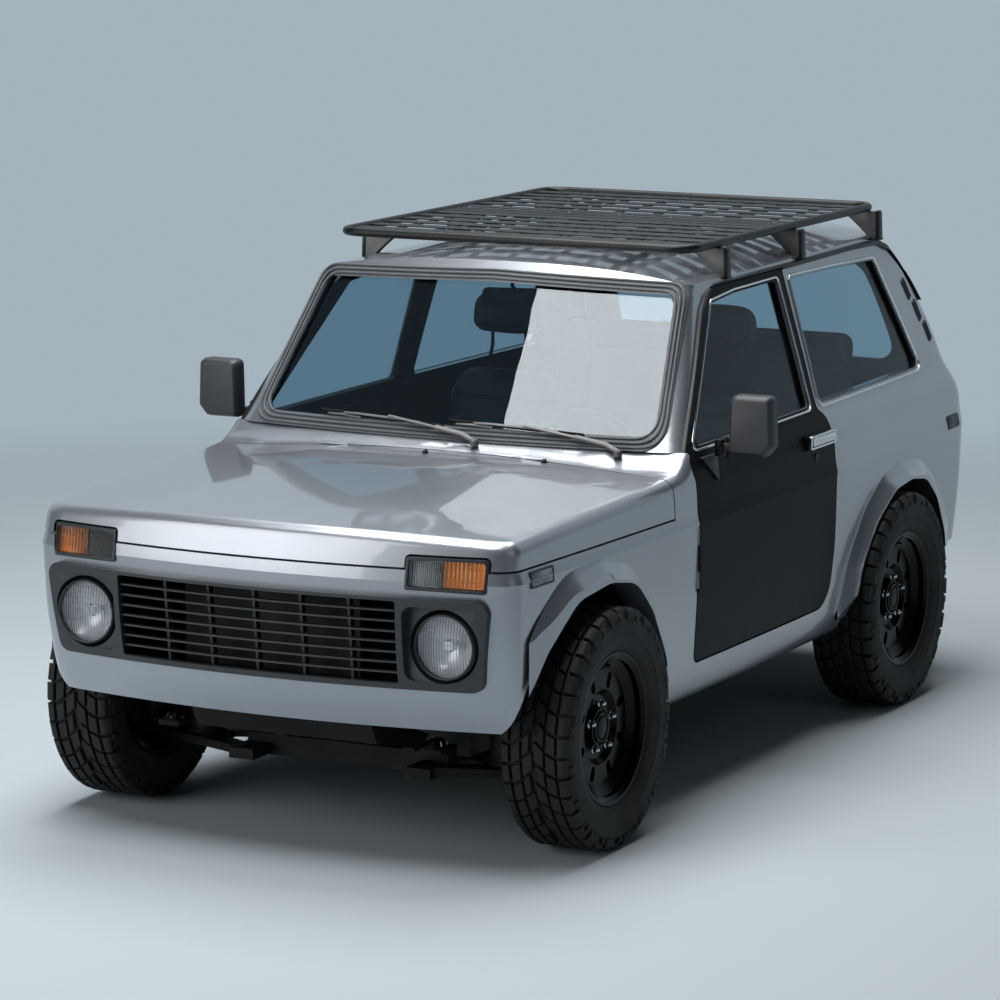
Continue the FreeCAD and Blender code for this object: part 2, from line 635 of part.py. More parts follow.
def tailgate():
    step = size("step_z")
    lower = lower_form().cut(lower_form(42)).common(box(-900, 900, 1300, 2000, 500, step))
    upper = cabin_form().cut(cabin_form(38)).common(box(-900, 900, 1200, 2000, step, 1500))
    leaf = lower.fuse(upper).common(outline_solid(GATE, 0, 50, 1000, 2000, "Y"))
    return leaf.cut(outline_solid(GATE_GLASS, 0, 50, 1000, 2000, "Y"))


def tailgate_glass():
    slab = cabin_form(10).cut(cabin_form(10 + size("glass")))
    return slab.common(outline_solid(GATE_GLASS, -size("seat_gap"), 50, 1000, 2000, "Y"))


def tail_lamps():
    zone = [(648, 560, 10), (700, 560, 10), (716, 760, 10), (648, 760, 10)]
    slab = lower_form(-12).cut(lower_form(-0.2))
    return pair(slab.common(outline_solid(zone, 0, 10, 1500, 2000, "Y")))


# Floor, bulkhead and wheel houses

def floor_pan():
    z0 = size("floor_z")
    t = size("floor_plate")
    inside = lower_form(size("wall") + 0.3)
    parts = [inside.common(box(-800, 800, -716, 640, z0, z0 + t)).cut(box(-110, 110, -800, 700, 0, 400)),
             box(-126, -110, -716, 640, z0, 486), box(110, 126, -716, 640, z0, 486),
             box(-126, 126, -716, 640, 470, 486),
             inside.common(box(-590, 590, 624, 1800, 520, 536)),
             box(-590, 590, 624, 640, z0, 536).cut(box(-60, 60, 600, 660, 0, 450)),
             inside.common(box(-800, 800, -716, -702, z0, size("step_z"))).cut(box(-110, 110, -800, -600, 0, 470)),
             hood_form(size("wall") + 0.3).common(box(-735, 735, -716, -702, size("step_z"), 960))]
    return fused(parts)


def wheel_houses():
    def liner(points, inner_x, outer_x, low):
        tunnel = outline_solid(points, 20, 60, inner_x - 12, outer_x).cut(outline_solid(points, 8, 60, inner_x, outer_x + 5))
        return tunnel.cut(box(0, 1000, -2000, 2000, 0, low))
    front = liner(FRONT_ARCH, 452, 735, 420)
    front = front.cut(box(0, 1000, -2000, -1640, 0, 1000)).cut(box(0, 1000, -718, 0, 0, 1000))
    y = front_axle_y()
    front = front.cut(box(400, 470, y - 104, y + 104, 300, size("ball_high_z") + 64))
    rear = liner(REAR_ARCH, 604, 745, 350).cut(box(0, 1000, 1500, 1800, 0, 440))
    y, slot = rear_axle_y(), size("axle_tube") + 32
    rear = rear.cut(box(560, 640, y - slot, y + slot, 300, size("tyre_radius") + slot))
    inside = lower_form(size("wall") + 0.3)
    return Part.makeCompound([s for one in (front.common(inside), rear.common(inside)) for s in pair(one).Solids])


# Wheels, axles and what carries them

def front_axle_y():
    return size("axle_mid_y") - size("wheelbase") / 2


def rear_axle_y():
    return size("axle_mid_y") + size("wheelbase") / 2


def turned(points, start=0, sweep=360):
    """Solid of revolution about the wheel's axle, from (across, radius) points; the axle is the X axis."""
    corners = [Vector(a, 0, r) for a, r in points]
    face = Part.Face(Part.makePolygon(corners + corners[:1]))
    solid = face.revolve(Vector(0, 0, 0), Vector(1, 0, 0), sweep)
    if solid.Volume < 0:
        solid.reverse()
    return solid


def tyre():
    """Mud tyre: a carcass whose two shoulders carry a ring of lugs, each facing a gap on the other side."""
    half, r, deep, edge = size("tyre_width") / 2, size("tyre_radius"), size("lug_deep"), size("lug_edge")
    count = 2 * int(size("lug_count"))
    step = 2 * math.pi / count
    seat = (size("rim_seat") + size("seat_gap")) / math.cos(step / 2)
    lug = [(half, 282), (half - 4, r - 14), (half - 18, r), (edge, r)]
    gap = [(half, 282), (half - 12, r - deep - 7), (edge, r - deep), (edge, r)]
    left = [(72, seat)] + lug
    bare = [(72, seat)] + gap

    def at(point, i):
        return Vector(point[0], point[1] * math.sin(step * i), -point[1] * math.cos(step * i))

    faces = []

    def face(corners):
        faces.append(Part.Face(Part.makePolygon(corners + corners[:1])))

    for i in range(count):
        raised, sunk = (left, bare) if i % 2 else (bare, left)
        outline = raised + [(-a, b) for a, b in reversed(sunk)]
        for here, ahead in zip(outline, outline[1:] + outline[:1]):
            face([at(here, i), at(here, i + 1), at(ahead, i + 1), at(ahead, i)])
        for side in (-1, 1):
            face([at((side * a, b), i) for a, b in lug + gap[-2:0:-1]])
    shell = Part.makeShell(faces)
    shell.sewShape()
    solid = Part.makeSolid(shell)
    if solid.Volume < 0:
        solid.reverse()
    return solid


def rim():
    """Steel rim: barrel with a drop and two flanges, and a dished disc with eight oval windows."""
    seat, well, flange, half = size("rim_seat"), size("rim_well"), size("rim_radius"), size("rim_width") / 2
    barrel = turned([(-half, flange), (-half + 5, flange), (-half + 12, seat), (half - 12, seat), (half - 5, flange),
                     (half, flange), (half - 1, flange - 8), (half - 9, seat - 7), (-half + 9, seat - 7),
                     (-half + 1, flange - 8)])
    face = size("dish_depth") - 8
    disc = turned([(62, seat - 5), (52, 180), (44, 166), (44, 108), (face + 6, 92), (face + 6, 64), (face + 18, 61),
                   (face + 18, size("hub_bore")), (face, size("hub_bore")), (face, 92), (38, 110), (38, 167),
                   (47, 184), (54, seat - 5)])
    windows = []
    for i in range(8):
        oval = outline_solid([(-13, 114), (13, 114), (13, 160), (-13, 160)], 0, 13, 20, 80)
        oval.rotate(Vector(0, 0, 0), Vector(1, 0, 0), 45 * i + 22.5)
        windows.append(oval)
    bolts = []
    for i in range(int(size("stud_count"))):
        turn = 2 * math.pi * i / size("stud_count")
        r = size("stud_circle") / 2
        bolts.append(Part.makeCylinder(6.4, 30, Vector(face - 5, r * math.sin(turn), r * math.cos(turn)), Vector(1, 0, 0)))
    return barrel.fuse(disc).cut(windows[0].fuse(windows[1:])).cut(bolts[0].fuse(bolts[1:]))


def at_wheel(shape, side, y):
    """Put a wheel piece, drawn for the left, at a corner of the car."""
    out = shape if side > 0 else mirror(shape)
    out = out.copy()
    out.translate(Vector(side * size("half_track"), y, size("tyre_radius")))
    return out


def hub():
    """Flange that the wheel bolts to, and the spigot that fills its bore."""
    face = size("dish_depth") - 8 - size("seat_gap")
    pin = size("hub_bore") - size("shaft_clear")
    return turned([(-60, 0), (-60, 34), (face - 12, 34), (face - 12, size("hub_flange")), (face, size("hub_flange")),
                   (face, pin), (size("pin_out"), pin), (size("pin_out"), 0)])


def knuckle():
    """Front upright of the left side: hub, brake rotor, caliper, two ball joint eyes and the steering arm."""
    x, y, z = size("half_track"), front_axle_y(), size("tyre_radius")
    king = size("kingpin_x")
    body = hub()
    body = body.fuse([turned([(-30, 34), (-30, size("rotor_radius")), (-18, size("rotor_radius")), (-18, 34)]),
                      turned([(-60, 0), (-60, 52), (-34, 52), (-34, 0)])])
    body.translate(Vector(x, y, z))
    low, high = size("ball_low_z"), size("ball_high_z")
    post = prism([(y - 34, z - 40), (y - 20, low + 4), (y + 20, low + 4), (y + 34, z - 40), (y + 34, z + 40),
                  (y + 20, high - 4), (y - 20, high - 4), (y - 34, z + 40)], king - 13, king + 12)
    eyes = [Part.makeCylinder(21, 24, Vector(king, y, low)), Part.makeCylinder(19, 22, Vector(king, y, high - 22))]
    caliper = box(king + 2, x - 8, y + 70, y + 128, z + 10, z + 74).fuse(box(king - 10, king + 14, y + 20, y + 96, z + 20, z + 56))
    arm = box(king - 10, king + 12, y + 20, y + 128, z - 92, z - 70).fuse(
        Part.makeCylinder(14, 22, Vector(king, y + 128, z - 92)))
    return body.fuse([post, caliper, arm] + eyes)


def front_suspension():
    """Cross member, wishbones, springs in their towers and the dampers of both sides."""
    king, y, low, high = size("kingpin_x"), front_axle_y(), size("ball_low_z"), size("ball_high_z")
    gap = size("seat_gap")
    lower = prism([(king + 12, y - 26), (king - 60, y - 44), (330, y - 150), (296, y - 150), (296, y - 104), (430, y - 40),
                   (430, y + 40), (296, y + 104), (296, y + 150), (330, y + 150), (king - 60, y + 44), (king + 12, y + 26)],
                  low - gap - 24, low - gap, "Z")
    upper = prism([(king + 12, y - 24), (king - 70, y - 30), (430, y - 90), (404, y - 90), (404, y - 52), (520, y - 12),
                   (520, y + 12), (404, y + 52), (404, y + 90), (430, y + 90), (king - 70, y + 30), (king + 12, y + 24)],
                  high + gap, high + gap + 20, "Z")
    spring = [Part.makeCylinder(62, 10, Vector(500, y, low - gap)), Part.makeCylinder(56, 262, Vector(500, y, low + 4)),
              Part.makeCylinder(60, 30, Vector(500, y, low + 266))]
    tower = box(404, 437, y - 100, y + 100, high - 30, high + 60)
    link = box(404, 520, y - 60, y + 60, low + 290, low + 302)
    one = lower.fuse([link, tower] + spring).fuse(upper)
    beam = box(-330, 330, y - 60, y + 60, low - 40, low + 22)
    ends = [box(250, 330, y - 170, y + 170, low - 34, low - 2)]
    rails = [box(360, 404, -1640, -716.3, 420, 500), box(360, 404, y - 60, y + 60, low + 20, 430)]
    side = one.fuse(ends + rails)
    return side.fuse([mirror(side), beam])


def rear_axle():
    """Rigid axle: tube, differential, drums with their spigots, spring seats, springs and dampers."""
    x, y, z, tube = size("half_track"), rear_axle_y(), size("tyre_radius"), size("axle_tube")
    end = hub().fuse(turned([(-58, 30), (-58, size("drum_radius")), (face_gap(), size("drum_radius")), (face_gap(), 30)]))
    end.translate(Vector(x, y, z))
    pumpkin = Part.makeSphere(size("diff_radius"), Vector(0, y, z)).common(box(-95, 95, y - 200, y + 200, 0, 800))
    nose = Part.makeCone(70, 42, 120, Vector(0, y - 90, z), Vector(0, -1, 0))
    parts = [Part.makeCylinder(tube, 2 * (x - 50), Vector(-(x - 50), y, z), Vector(1, 0, 0)), pumpkin, nose, end, mirror(end)]
    for side in (-1, 1):
        parts.append(Part.makeCylinder(58, 16, Vector(side * 500, y, z + tube - 6)))
        parts.append(Part.makeCylinder(52, 519.7 - z - tube, Vector(side * 500, y, z + tube)))
        parts.append(box(side * 500 - 20, side * 500 + 20, y - 460, y, z - tube - 40, z - tube + 4))
        parts.append(box(side * 500 - 26, side * 500 + 26, y - 470, y - 430, z - tube - 46, size("floor_z") - 0.3))
    return fused(parts)


def face_gap():
    return size("dish_depth") - 8 - size("seat_gap")


def driveline():
    """Transfer case, gearbox and the two prop shafts that run to the axles."""
    y = rear_axle_y()
    case = box(-100, 100, -250, 60, 300, 440).fuse(
        [Part.makeCone(70, 60, 451, Vector(0, -250, 384), Vector(0, -1, 0)), rod((0, 60, 370), (0, y - 216, size("tyre_radius")), 28),
         Part.makeCylinder(42, 26 - size("seat_gap"), Vector(0, y - 236, size("tyre_radius")), Vector(0, 1, 0))])
    return case


def exhaust():
    """Down pipe, silencer and tail pipe along the right of the tunnel."""
    path = [(-190, -700, 300), (-190, 500, 300), (-260, 640, 300)]
    parts = [rod(path[0], path[1], 24), Part.makeSphere(24, Vector(*path[1]))]
    parts.append(box(-250, -140, -400, 0, 262, 329.7))
    parts += [rod(path[1], path[2], 24)]
    return fused(parts)


def engine():
    block = box(-size("engine_wide") / 2, size("engine_wide") / 2, size("engine_front_y"),
                size("engine_front_y") + size("engine_long"), size("engine_z"), size("engine_z") + size("engine_high"))
    wide_x = size("radiator_wide") / 2
    wide, high, deep = size("radiator_wide") / 2, size("radiator_high"), size("radiator_deep")
    mounts = [box(a, b, -1160, -1090, 430, 480) for a, b in ((240, 359.7), (-359.7, -240))]
    stays = [box(a, b, -1640, -1632, 482, 498) for a, b in ((wide_x, 359.7), (-359.7, -wide_x))]
    core = box(-wide, wide, -1676, -1676 + deep, size("radiator_z"), size("radiator_z") + high)
    return Part.makeCompound([block.fuse(mounts), core.fuse(stays)])


def sump_guard():
    """Bent steel plate under the engine, hung behind the valance."""
    profile = [(-1640, 400), (-1600, 330), (-1330, 262), (-1262, 262), (-1262, 268), (-1328, 268), (-1596, 337), (-1634, 403)]
    plate = prism(profile, -290, 290)
    feet = [box(x, x + 40, -1264, -1236, size("ball_low_z") + 22.3, 268) for x in (-230, 190)]
    return plate.fuse([prism([(-1640, 400), (-1596, 330), (-1330, 262), (-1290, 300), (-1600, 410)], x, x + 6)
                       for x in (-290, 284)] + feet)


# Roof rack

def rack_tray():
    half, y0, y1 = size("rack_half"), size("rack_front_y"), size("rack_rear_y")
    r, z = size("rack_tube"), size("rack_z") - size("rack_tube")
    x, corner = half - r, 70
    wire = round_outline([(-x, y0 + r), (x, y0 + r), (x, y1 - r), (-x, y1 - r)], corner)
    wire.translate(Vector(0, 0, z))
    start = wire.Edges[0].valueAt(wire.Edges[0].FirstParameter)
    way = wire.Edges[0].tangentAt(wire.Edges[0].FirstParameter)
    ring = Part.Wire([Part.makeCircle(r, start, way)])
    tube = wire.makePipeShell([ring], True, True, 2)
    if tube.Volume < 0:
        tube.reverse()
    wide, thick, count = size("slat_wide"), size("slat_thick"), 13
    top = z + 6
    pitch = (y1 - y0 - 2 * r - wide) / (count + 1.0)
    slats = [box(-x, x, y0 + r + pitch * (i + 1), y0 + r + pitch * (i + 1) + wide, top - thick, top) for i in range(count)]
    runners = [box(c - 15, c + 15, y0 + r, y1 - r, top - thick - 6, top - thick + 3) for c in (-300, 0, 300)]
    return tube.fuse(slats + runners)


def rack_legs():
    """Six cast feet: a plate with a hollow inner edge, standing on the rain rail."""
    top, foot = size("rack_z") - 2 * size("rack_tube") - size("seat_gap"), size("roof_side_z") + 2
    feet = []
    for y in (11, 590, 1235):
        edge = [Part.LineSegment(Vector(629, y, foot), Vector(625, y, top)).toShape(),
                Part.LineSegment(Vector(625, y, top), Vector(486, y, top)).toShape(),
                Part.Arc(Vector(486, y, top), Vector(566, y, top - 32), Vector(600, y, foot)).toShape(),
                Part.LineSegment(Vector(600, y, foot), Vector(629, y, foot)).toShape()]
        feet.append(Part.Face(Part.Wire(edge)).extrude(Vector(0, 34, 0)))
    both = [side for foot_solid in feet for side in (foot_solid, mirror(foot_solid))]
    for one in both:
        if one.Volume < 0:
            one.reverse()
    roof_edge = box(-620.3, 620.3, -300, 1500, foot - 1, foot + 18)
    return Part.makeCompound([one.cut(roof_edge) for one in both])


# Cabin

def cushion(points, radius, x0, x1):
    """Padded block with the given side view."""
    return outline_solid(points, 0, radius, x0, x1)


def front_seat(side):
    x, half, z = side * size("seat_x"), size("seat_wide") / 2, size("seat_z")
    base = cushion([(-140, z), (-150, z + 130), (320, z + 90), (500, z + 660), (590, z + 630), (450, z + 60), (400, z)],
                   42, x - half, x + half)
    head = cushion([(478, z + 700), (492, z + 862), (560, z + 850), (590, z + 690)], 30, x - 140, x + 140)
    posts = [rod((x + s, 535, z + 630), (x + s, 535, z + 710), 6) for s in (-60, 60)]
    frame = box(x - half + 40, x + half - 40, -100, 330, size("floor_z") + size("floor_plate") + 0.3, z + 30)
    return fused([base, head, frame] + posts)


def seats():
    deck = 536.3
    bench = cushion([(800, deck), (790, deck + 160), (1120, deck + 130), (1210, 1206), (1290, 1190), (1250, deck)], 40,
                    -560, 560)
    return Part.makeCompound([front_seat(-1), front_seat(1), bench])


def dashboard():
    """Moulded panel under the windscreen, with the steering column."""
    profile = [(-701.7, 880), (-640, 960), (-560, 1010), (-470, 1000), (-440, 940), (-470, 800), (-560, 740), (-701.7, 740)]
    panel = prism(profile, -700, 700).common(cabin_form(size("glass_wall") + 4))
    centre, way = column_frame()
    end = centre - way * (18 + size("seat_gap"))
    column = rod(tuple(end - way * 300), tuple(end), 24)
    return panel.fuse(column)


def column_frame():
    """Centre of the steering wheel and the direction of its shaft, towards the driver."""
    return Vector(size("steer_x"), -300, 940), Vector(0, 0.928, 0.371)


def steering_wheel():
    centre, way = column_frame()
    r, grip = size("steer_radius"), size("steer_grip")
    ring = turned([(-grip, r), (-grip / 2, r + 11), (grip / 2, r + 11), (grip, r), (grip / 2, r - 11), (-grip / 2, r - 11)])
    boss = turned([(-18, 0), (-18, 40), (12, 40), (12, 0)])
    spokes = []
    for turn in (90, 180, 270):
        spoke = prism([(-14, 20), (14, 20), (10, r - 4), (-10, r - 4)], -5, 5)
        spoke.rotate(Vector(0, 0, 0), Vector(1, 0, 0), turn)
        spokes.append(spoke)
    ring = ring.fuse([boss] + spokes)
    ring.Placement = FreeCAD.Placement(centre, FreeCAD.Rotation(Vector(1, 0, 0), way))
    return ring


def on_screen(x, z, off):
    """Point in front of the windscreen's face, by its distance along the car."""
    return Vector(x, screen_y(z) + SCREEN_BOW * x * x - off, z)


def top_of(shape, x, y, around):
    """Highest point of a shape under a disc about x and y."""
    spots = [(0, 0)] + [(around * math.cos(t), around * math.sin(t)) for t in even(0, 1.75 * math.pi, 8)]
    lines = [Part.makeLine(Vector(x + a, y + b, 900), Vector(x + a, y + b, 1200)) for a, b in spots]
    return max(v.Z for line in lines for v in line.common(shape).Vertexes)


def wipers():
    """Two arms with their blades, parked along the foot of the windscreen."""
    arms = []
    for x in (-250, 200):
        y = screen_y(1024) + SCREEN_BOW * (x + 370) ** 2 - 12
        z = top_of(made["cowl"].Shape, x + 370, y, 11) + size("seat_gap")
        pivot, mid = Vector(x + 370, y, z), on_screen(x + 60, 1080, 22)
        arm = Part.makeCylinder(11, 22, pivot).fuse(rod(tuple(pivot + Vector(0, 0, 14)), tuple(mid), 5))
        blade = rod(tuple(on_screen(x - 190, 1088, 24)), tuple(on_screen(x + 250, 1072, 24)), 7)
        arms.append(arm.fuse([blade, Part.makeSphere(9, mid)]))
    return Part.makeCompound(arms)


def door_mirror():
    """Housing of the left mirror on its block, with the bracket at the window's front corner."""
    high, wide, deep = size("mirror_high"), size("mirror_wide"), size("mirror_deep")
    x, y, z = 832, -436, 1018
    shell = outline_solid([(x, z), (x + wide - 26, z), (x + wide, z + 30), (x + wide - 6, z + high), (x + 4, z + high)],
                          0, 12, y, y + deep, "Y")
    arm = box(770, x + 12, -390, -350, 1022, 1052).fuse(box(752, 776, -402, -340, 1008, 1064))
    plate = prism([(-470, 1016), (-352, 1016), (-404, 936)], 760, 812).cut(
        lower_form(-1).fuse(cabin_form(-0.3))).common(cabin_form(-14).fuse(box(740, 775, -500, -300, 1000, 1100)))
    return shell.fuse([arm.cut(cabin_form(-0.3)), plate])


def together(*shapes):
    return Part.makeCompound([solid for shape in shapes for solid in shape.Solids])


def lamps():
    return together(headlamps(), turn_lamps(), tail_lamps())


def fixed_glass():
    return together(windscreen_glass(), pair(pane(QUARTER_GLASS)))


def roof_rack():
    return together(rack_tray(), rack_legs())


NODES = {
    "floor_pan": floor_pan, "wheel_houses": wheel_houses, "side_panel_left": side_panel,
    "side_panel_right": lambda: mirror(side_panel_shape()), "roof_panel": roof, "cowl": cowl,
    "front_fenders": lambda: pair(front_fender()), "nose_panel": nose_panel, "rear_panel": rear_panel,
    "drip_rails": drip_rails, "windscreen_seal": windscreen_seal, "fixed_glass": fixed_glass,
    "grille_panel": grille_panel, "lamps": lamps, "wipers": wipers, "roof_rack": roof_rack, "seats": seats, "dashboard": dashboard, "engine_and_radiator": engine,
    "sump_guard": sump_guard, "front_suspension": front_suspension, "rear_axle": rear_axle, "driveline": driveline,
    "exhaust": exhaust, "hood": hood, "tailgate": tailgate, "tailgate_glass": tailgate_glass,
    "steering_wheel": steering_wheel,
}
made = {}


def side_panel_shape():
    if "side" not in cache:
        cache["side"] = side_panel()
    return cache["side"]


def build_all():
    NODES["side_panel_left"] = side_panel_shape
    for name, maker in NODES.items():
        made[name] = feature(name, maker())
    for word, side in (("left", 1), ("right", -1)):
        for name, maker in (("door", door), ("door_mirror", door_mirror), ("knuckle", knuckle),
                            ("door_glass", lambda: pane(DOOR_GLASS))):
            if name not in cache:
                cache[name] = maker()
            shape = cache[name] if side > 0 else mirror(cache[name])
            made[name + "_" + word] = feature(name + "_" + word, shape)
        for end, y in (("front", front_axle_y()), ("rear", rear_axle_y())):
            for name, maker in (("tyre", tyre), ("rim", rim)):
                if name not in cache:
                    cache[name] = maker()
                label = "%s_%s_%s" % (name, end, word)
                made[label] = feature(label, at_wheel(cache[name], side, y))


build_all()
doc.recompute()
for name, item in made.items():
    if "Invalid" in item.State or "Error" in item.State or item.Shape.isNull() or not item.Shape.isValid():
        raise SystemExit("bad shape: " + name)
    item.Shape.exportStep("parts/%s.step" % name)
everything = Part.makeCompound([item.Shape for item in made.values()])
b = everything.BoundBox
print("nodes", len(made), "box", round(b.XMin, 2), round(b.XMax, 2), round(b.YMin, 2), round(b.YMax, 2),
      round(b.ZMin, 2), round(b.ZMax, 2))
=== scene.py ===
import bpy, bmesh, math
from mathutils import Vector, Matrix
from mathutils.bvhtree import BVHTree


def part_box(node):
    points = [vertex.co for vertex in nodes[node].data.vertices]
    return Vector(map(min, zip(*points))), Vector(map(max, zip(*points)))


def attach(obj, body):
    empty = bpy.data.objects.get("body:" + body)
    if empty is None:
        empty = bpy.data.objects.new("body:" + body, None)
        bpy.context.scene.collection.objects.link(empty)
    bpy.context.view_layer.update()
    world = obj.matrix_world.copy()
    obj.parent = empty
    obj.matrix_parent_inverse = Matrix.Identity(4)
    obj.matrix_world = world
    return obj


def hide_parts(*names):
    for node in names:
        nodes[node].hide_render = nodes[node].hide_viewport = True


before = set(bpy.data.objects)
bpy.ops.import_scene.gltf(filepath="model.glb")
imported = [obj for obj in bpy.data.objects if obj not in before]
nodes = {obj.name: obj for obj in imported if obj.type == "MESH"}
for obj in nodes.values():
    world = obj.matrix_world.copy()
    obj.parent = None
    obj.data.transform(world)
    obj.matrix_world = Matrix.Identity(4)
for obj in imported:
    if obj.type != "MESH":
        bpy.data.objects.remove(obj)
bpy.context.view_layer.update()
scene = bpy.context.scene
scene.view_settings.view_transform = "Standard"
print("frame loaded:", len(nodes), "nodes")


def placed(name, data):
    thing = bpy.data.objects.new(name, data)
    scene.collection.objects.link(thing)
    return thing


# Camera at the photograph's angle

camera = {"place": (6.0614, -12.2372, 3.0583), "azimuth": 26.857, "elevation": 9.552, "lens": 159.6,
          "sensor": 36}


def makeCamera():
    data = bpy.data.cameras.new("photoCamera")
    data.lens, data.sensor_width = camera["lens"], camera["sensor"]
    holder = placed("photoCamera", data)
    holder.location = camera["place"]
    up, around = math.radians(camera["elevation"]), math.radians(camera["azimuth"])
    holder.rotation_euler = (math.pi / 2 - up, 0, around)
    scene.camera = holder


makeCamera()


# Mesh helpers: each piece's finish is named by its word in mat

mat = {}
flipped = Matrix.Scale(-1, 4, (1, 0, 0))


def meshPiece(name, verts, faces, word, smooth=True):
    data = bpy.data.meshes.new(name)
    data.from_pydata([tuple(v) for v in verts], [], faces)
    data.update()
    data.materials.append(mat[word])
    for poly in data.polygons:
        poly.use_smooth = smooth
    return placed(name, data)


def evaluated(piece):
    return piece.evaluated_get(bpy.context.evaluated_depsgraph_get())


def plainMesh(piece):
    # the piece as its modifiers leave it, with none left on
    old, data = piece.data, bpy.data.meshes.new_from_object(evaluated(piece))
    piece.modifiers.clear()
    piece.data = data
    bpy.data.meshes.remove(old)
    return piece


def tidied(piece, angle=32, bevel=0.0, segments=2):
    # doubles merged, faces outwards, edges softened
    bm = bmesh.new()
    bm.from_mesh(piece.data)
    bmesh.ops.remove_doubles(bm, verts=bm.verts, dist=1e-5)
    bmesh.ops.recalc_face_normals(bm, faces=bm.faces)
    bm.to_mesh(piece.data)
    bm.free()
    if bevel:
        mod = piece.modifiers.new("edges", "BEVEL")
        mod.width, mod.segments, mod.limit_method = bevel, segments, "ANGLE"
        mod.angle_limit = math.radians(35)
        plainMesh(piece)
    piece.data.set_sharp_from_angle(angle=math.radians(angle))
    return piece


def joined(name, pieces):
    # one piece from several, each face keeping its material
    bm, kept = bmesh.new(), []
    for piece in pieces:
        data = piece.data
        for material in data.materials:
            if material not in kept:
                kept.append(material)
        order = [kept.index(material) for material in data.materials]
        for poly in data.polygons:
            poly.material_index = order[poly.material_index]
        bm.from_mesh(data)
        bpy.data.objects.remove(piece)
        bpy.data.meshes.remove(data)
    data = bpy.data.meshes.new(name)
    bm.to_mesh(data)
    bm.free()
    for material in kept:
        data.materials.append(material)
    return placed(name, data)


def moved(piece, matrix, name=None):
    # the piece with its mesh moved, or a copy of it when a name is given
    if name:
        piece = placed(name, piece.data.copy())
    piece.data.transform(matrix)
    if matrix.determinant() < 0:
        piece.data.flip_normals()
    return piece


def dropped(*pieces):
    for piece in pieces:
        data = piece.data
        bpy.data.objects.remove(piece)
        if data.users == 0:
            bpy.data.meshes.remove(data)


def onBody(body, slotName, *pieces):
    for piece in pieces:
        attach(piece, body)


def onBoth(body, slotName, *parts):
    # each left part and its mirror copy, each on the body of its side
    for part in parts:
        onBody(body, slotName, part)
        twin = moved(part, flipped, part.name.replace("left", "right"))
        onBody(body.replace("left", "right"), slotName, twin)


# Outlines: lists of (a, b) or (a, b, corner radius)

def oblong(a0, b0, a1, b1, radius=0.0):
    return [(a0, b0, radius), (a1, b0, radius), (a1, b1, radius), (a0, b1, radius)]


def tapered(wide0, b0, radius0, wide1, b1, radius1):
    # an outline with even sides about the middle
    return [(-wide0, b0, radius0), (wide0, b0, radius0), (wide1, b1, radius1), (-wide1, b1, radius1)]


def rounded(points, steps=5):
    out = []
    for i in range(len(points)):
        back, here, ahead = (Vector(points[k % len(points)][:2]) for k in (i - 1, i, i + 1))
        r = points[i][2] if len(points[i]) > 2 else 0
        toBack, toAhead = (back - here).normalized(), (ahead - here).normalized()
        half = math.acos(max(-1, min(1, toBack.dot(toAhead)))) / 2
        if r <= 0 or half > 1.54:
            out.append(tuple(points[i][:2]))
            continue
        run = min(r / math.tan(half), (back - here).length * 0.48, (ahead - here).length * 0.48)
        a, b = here + toBack * run, here + toAhead * run
        for k in range(steps + 1):
            t = k / steps
            out.append(tuple(a * (1 - t) ** 2 + here * 2 * t * (1 - t) + b * t * t))
    return out


def inset(ring, by):
    # the outline moved inwards by a share of its mitre
    n, out = len(ring), []
    for i in range(n):
        a, b, c = Vector(ring[i - 1][:2]), Vector(ring[i][:2]), Vector(ring[(i + 1) % n][:2])
        n0, n1 = (b - a).normalized(), (c - b).normalized()
        normal = Vector((-n0.y - n1.y, n0.x + n1.x)).normalized()
        normal *= by / max(0.35, normal.dot(Vector((-n0.y, n0.x))))
        out.append((b.x + normal.x, b.y + normal.y) + tuple(ring[i][2:]))
    return out


def grown(points, by):
    # outwards, whichever way round the outline goes
    n = len(points)
    area = sum(points[i - 1][0] * points[i][1] - points[i][0] * points[i - 1][1] for i in range(n))
    return inset(points, -by if area > 0 else by)


def fineRing(ring, place, out, step, flat=True):
    # points along a closed outline, close enough to follow a curved surface
    full = []
    for (a, b), (c, d) in zip(ring, ring[1:] + ring[:1]):
        run = math.hypot(c - a, d - b) if flat else (place(c, d, out) - place(a, b, out)).length
        n = max(1, int(run / step))
        full += [place(a + (c - a) * k / n, b + (d - b) * k / n, out) for k in range(n)]
    return full


# Solids from outlines and profiles: place(a, b, depth) gives each point

def bands(rows, n, closed=True):
    # quads between rows of n points each
    return [(k * n + i, k * n + (i + 1) % n, (k + 1) * n + (i + 1) % n, (k + 1) * n + i)
            for k in range(rows - 1) for i in range(n if closed else n - 1)]


def slab(name, ring, low, high, place, word, bevel=0.0):
    ring = rounded(ring)
    n = len(ring)
    verts = [place(a, b, d) for d in (low, high) for a, b in ring]
    faces = [tuple(range(n - 1, -1, -1)), tuple(range(n, 2 * n))] + bands(2, n)
    return tidied(meshPiece(name, verts, faces, word), 32, bevel)


def frameOf(name, outer, inner, low, high, place, word, bevel=0.0):
    # ring between two outlines with as many points each
    outer, inner = rounded(outer), rounded(inner)
    n = len(outer)
    verts = [place(a, b, d) for d in (low, high) for edge in (outer, inner) for a, b in edge]
    faces = []
    for i in range(n):
        j = (i + 1) % n
        faces += [(i, j, n + j, n + i), (2 * n + i, 3 * n + i, 3 * n + j, 2 * n + j),
                  (i, 2 * n + i, 2 * n + j, j), (n + i, n + j, 3 * n + j, 3 * n + i)]
    return tidied(meshPiece(name, verts, faces, word), 32, bevel)


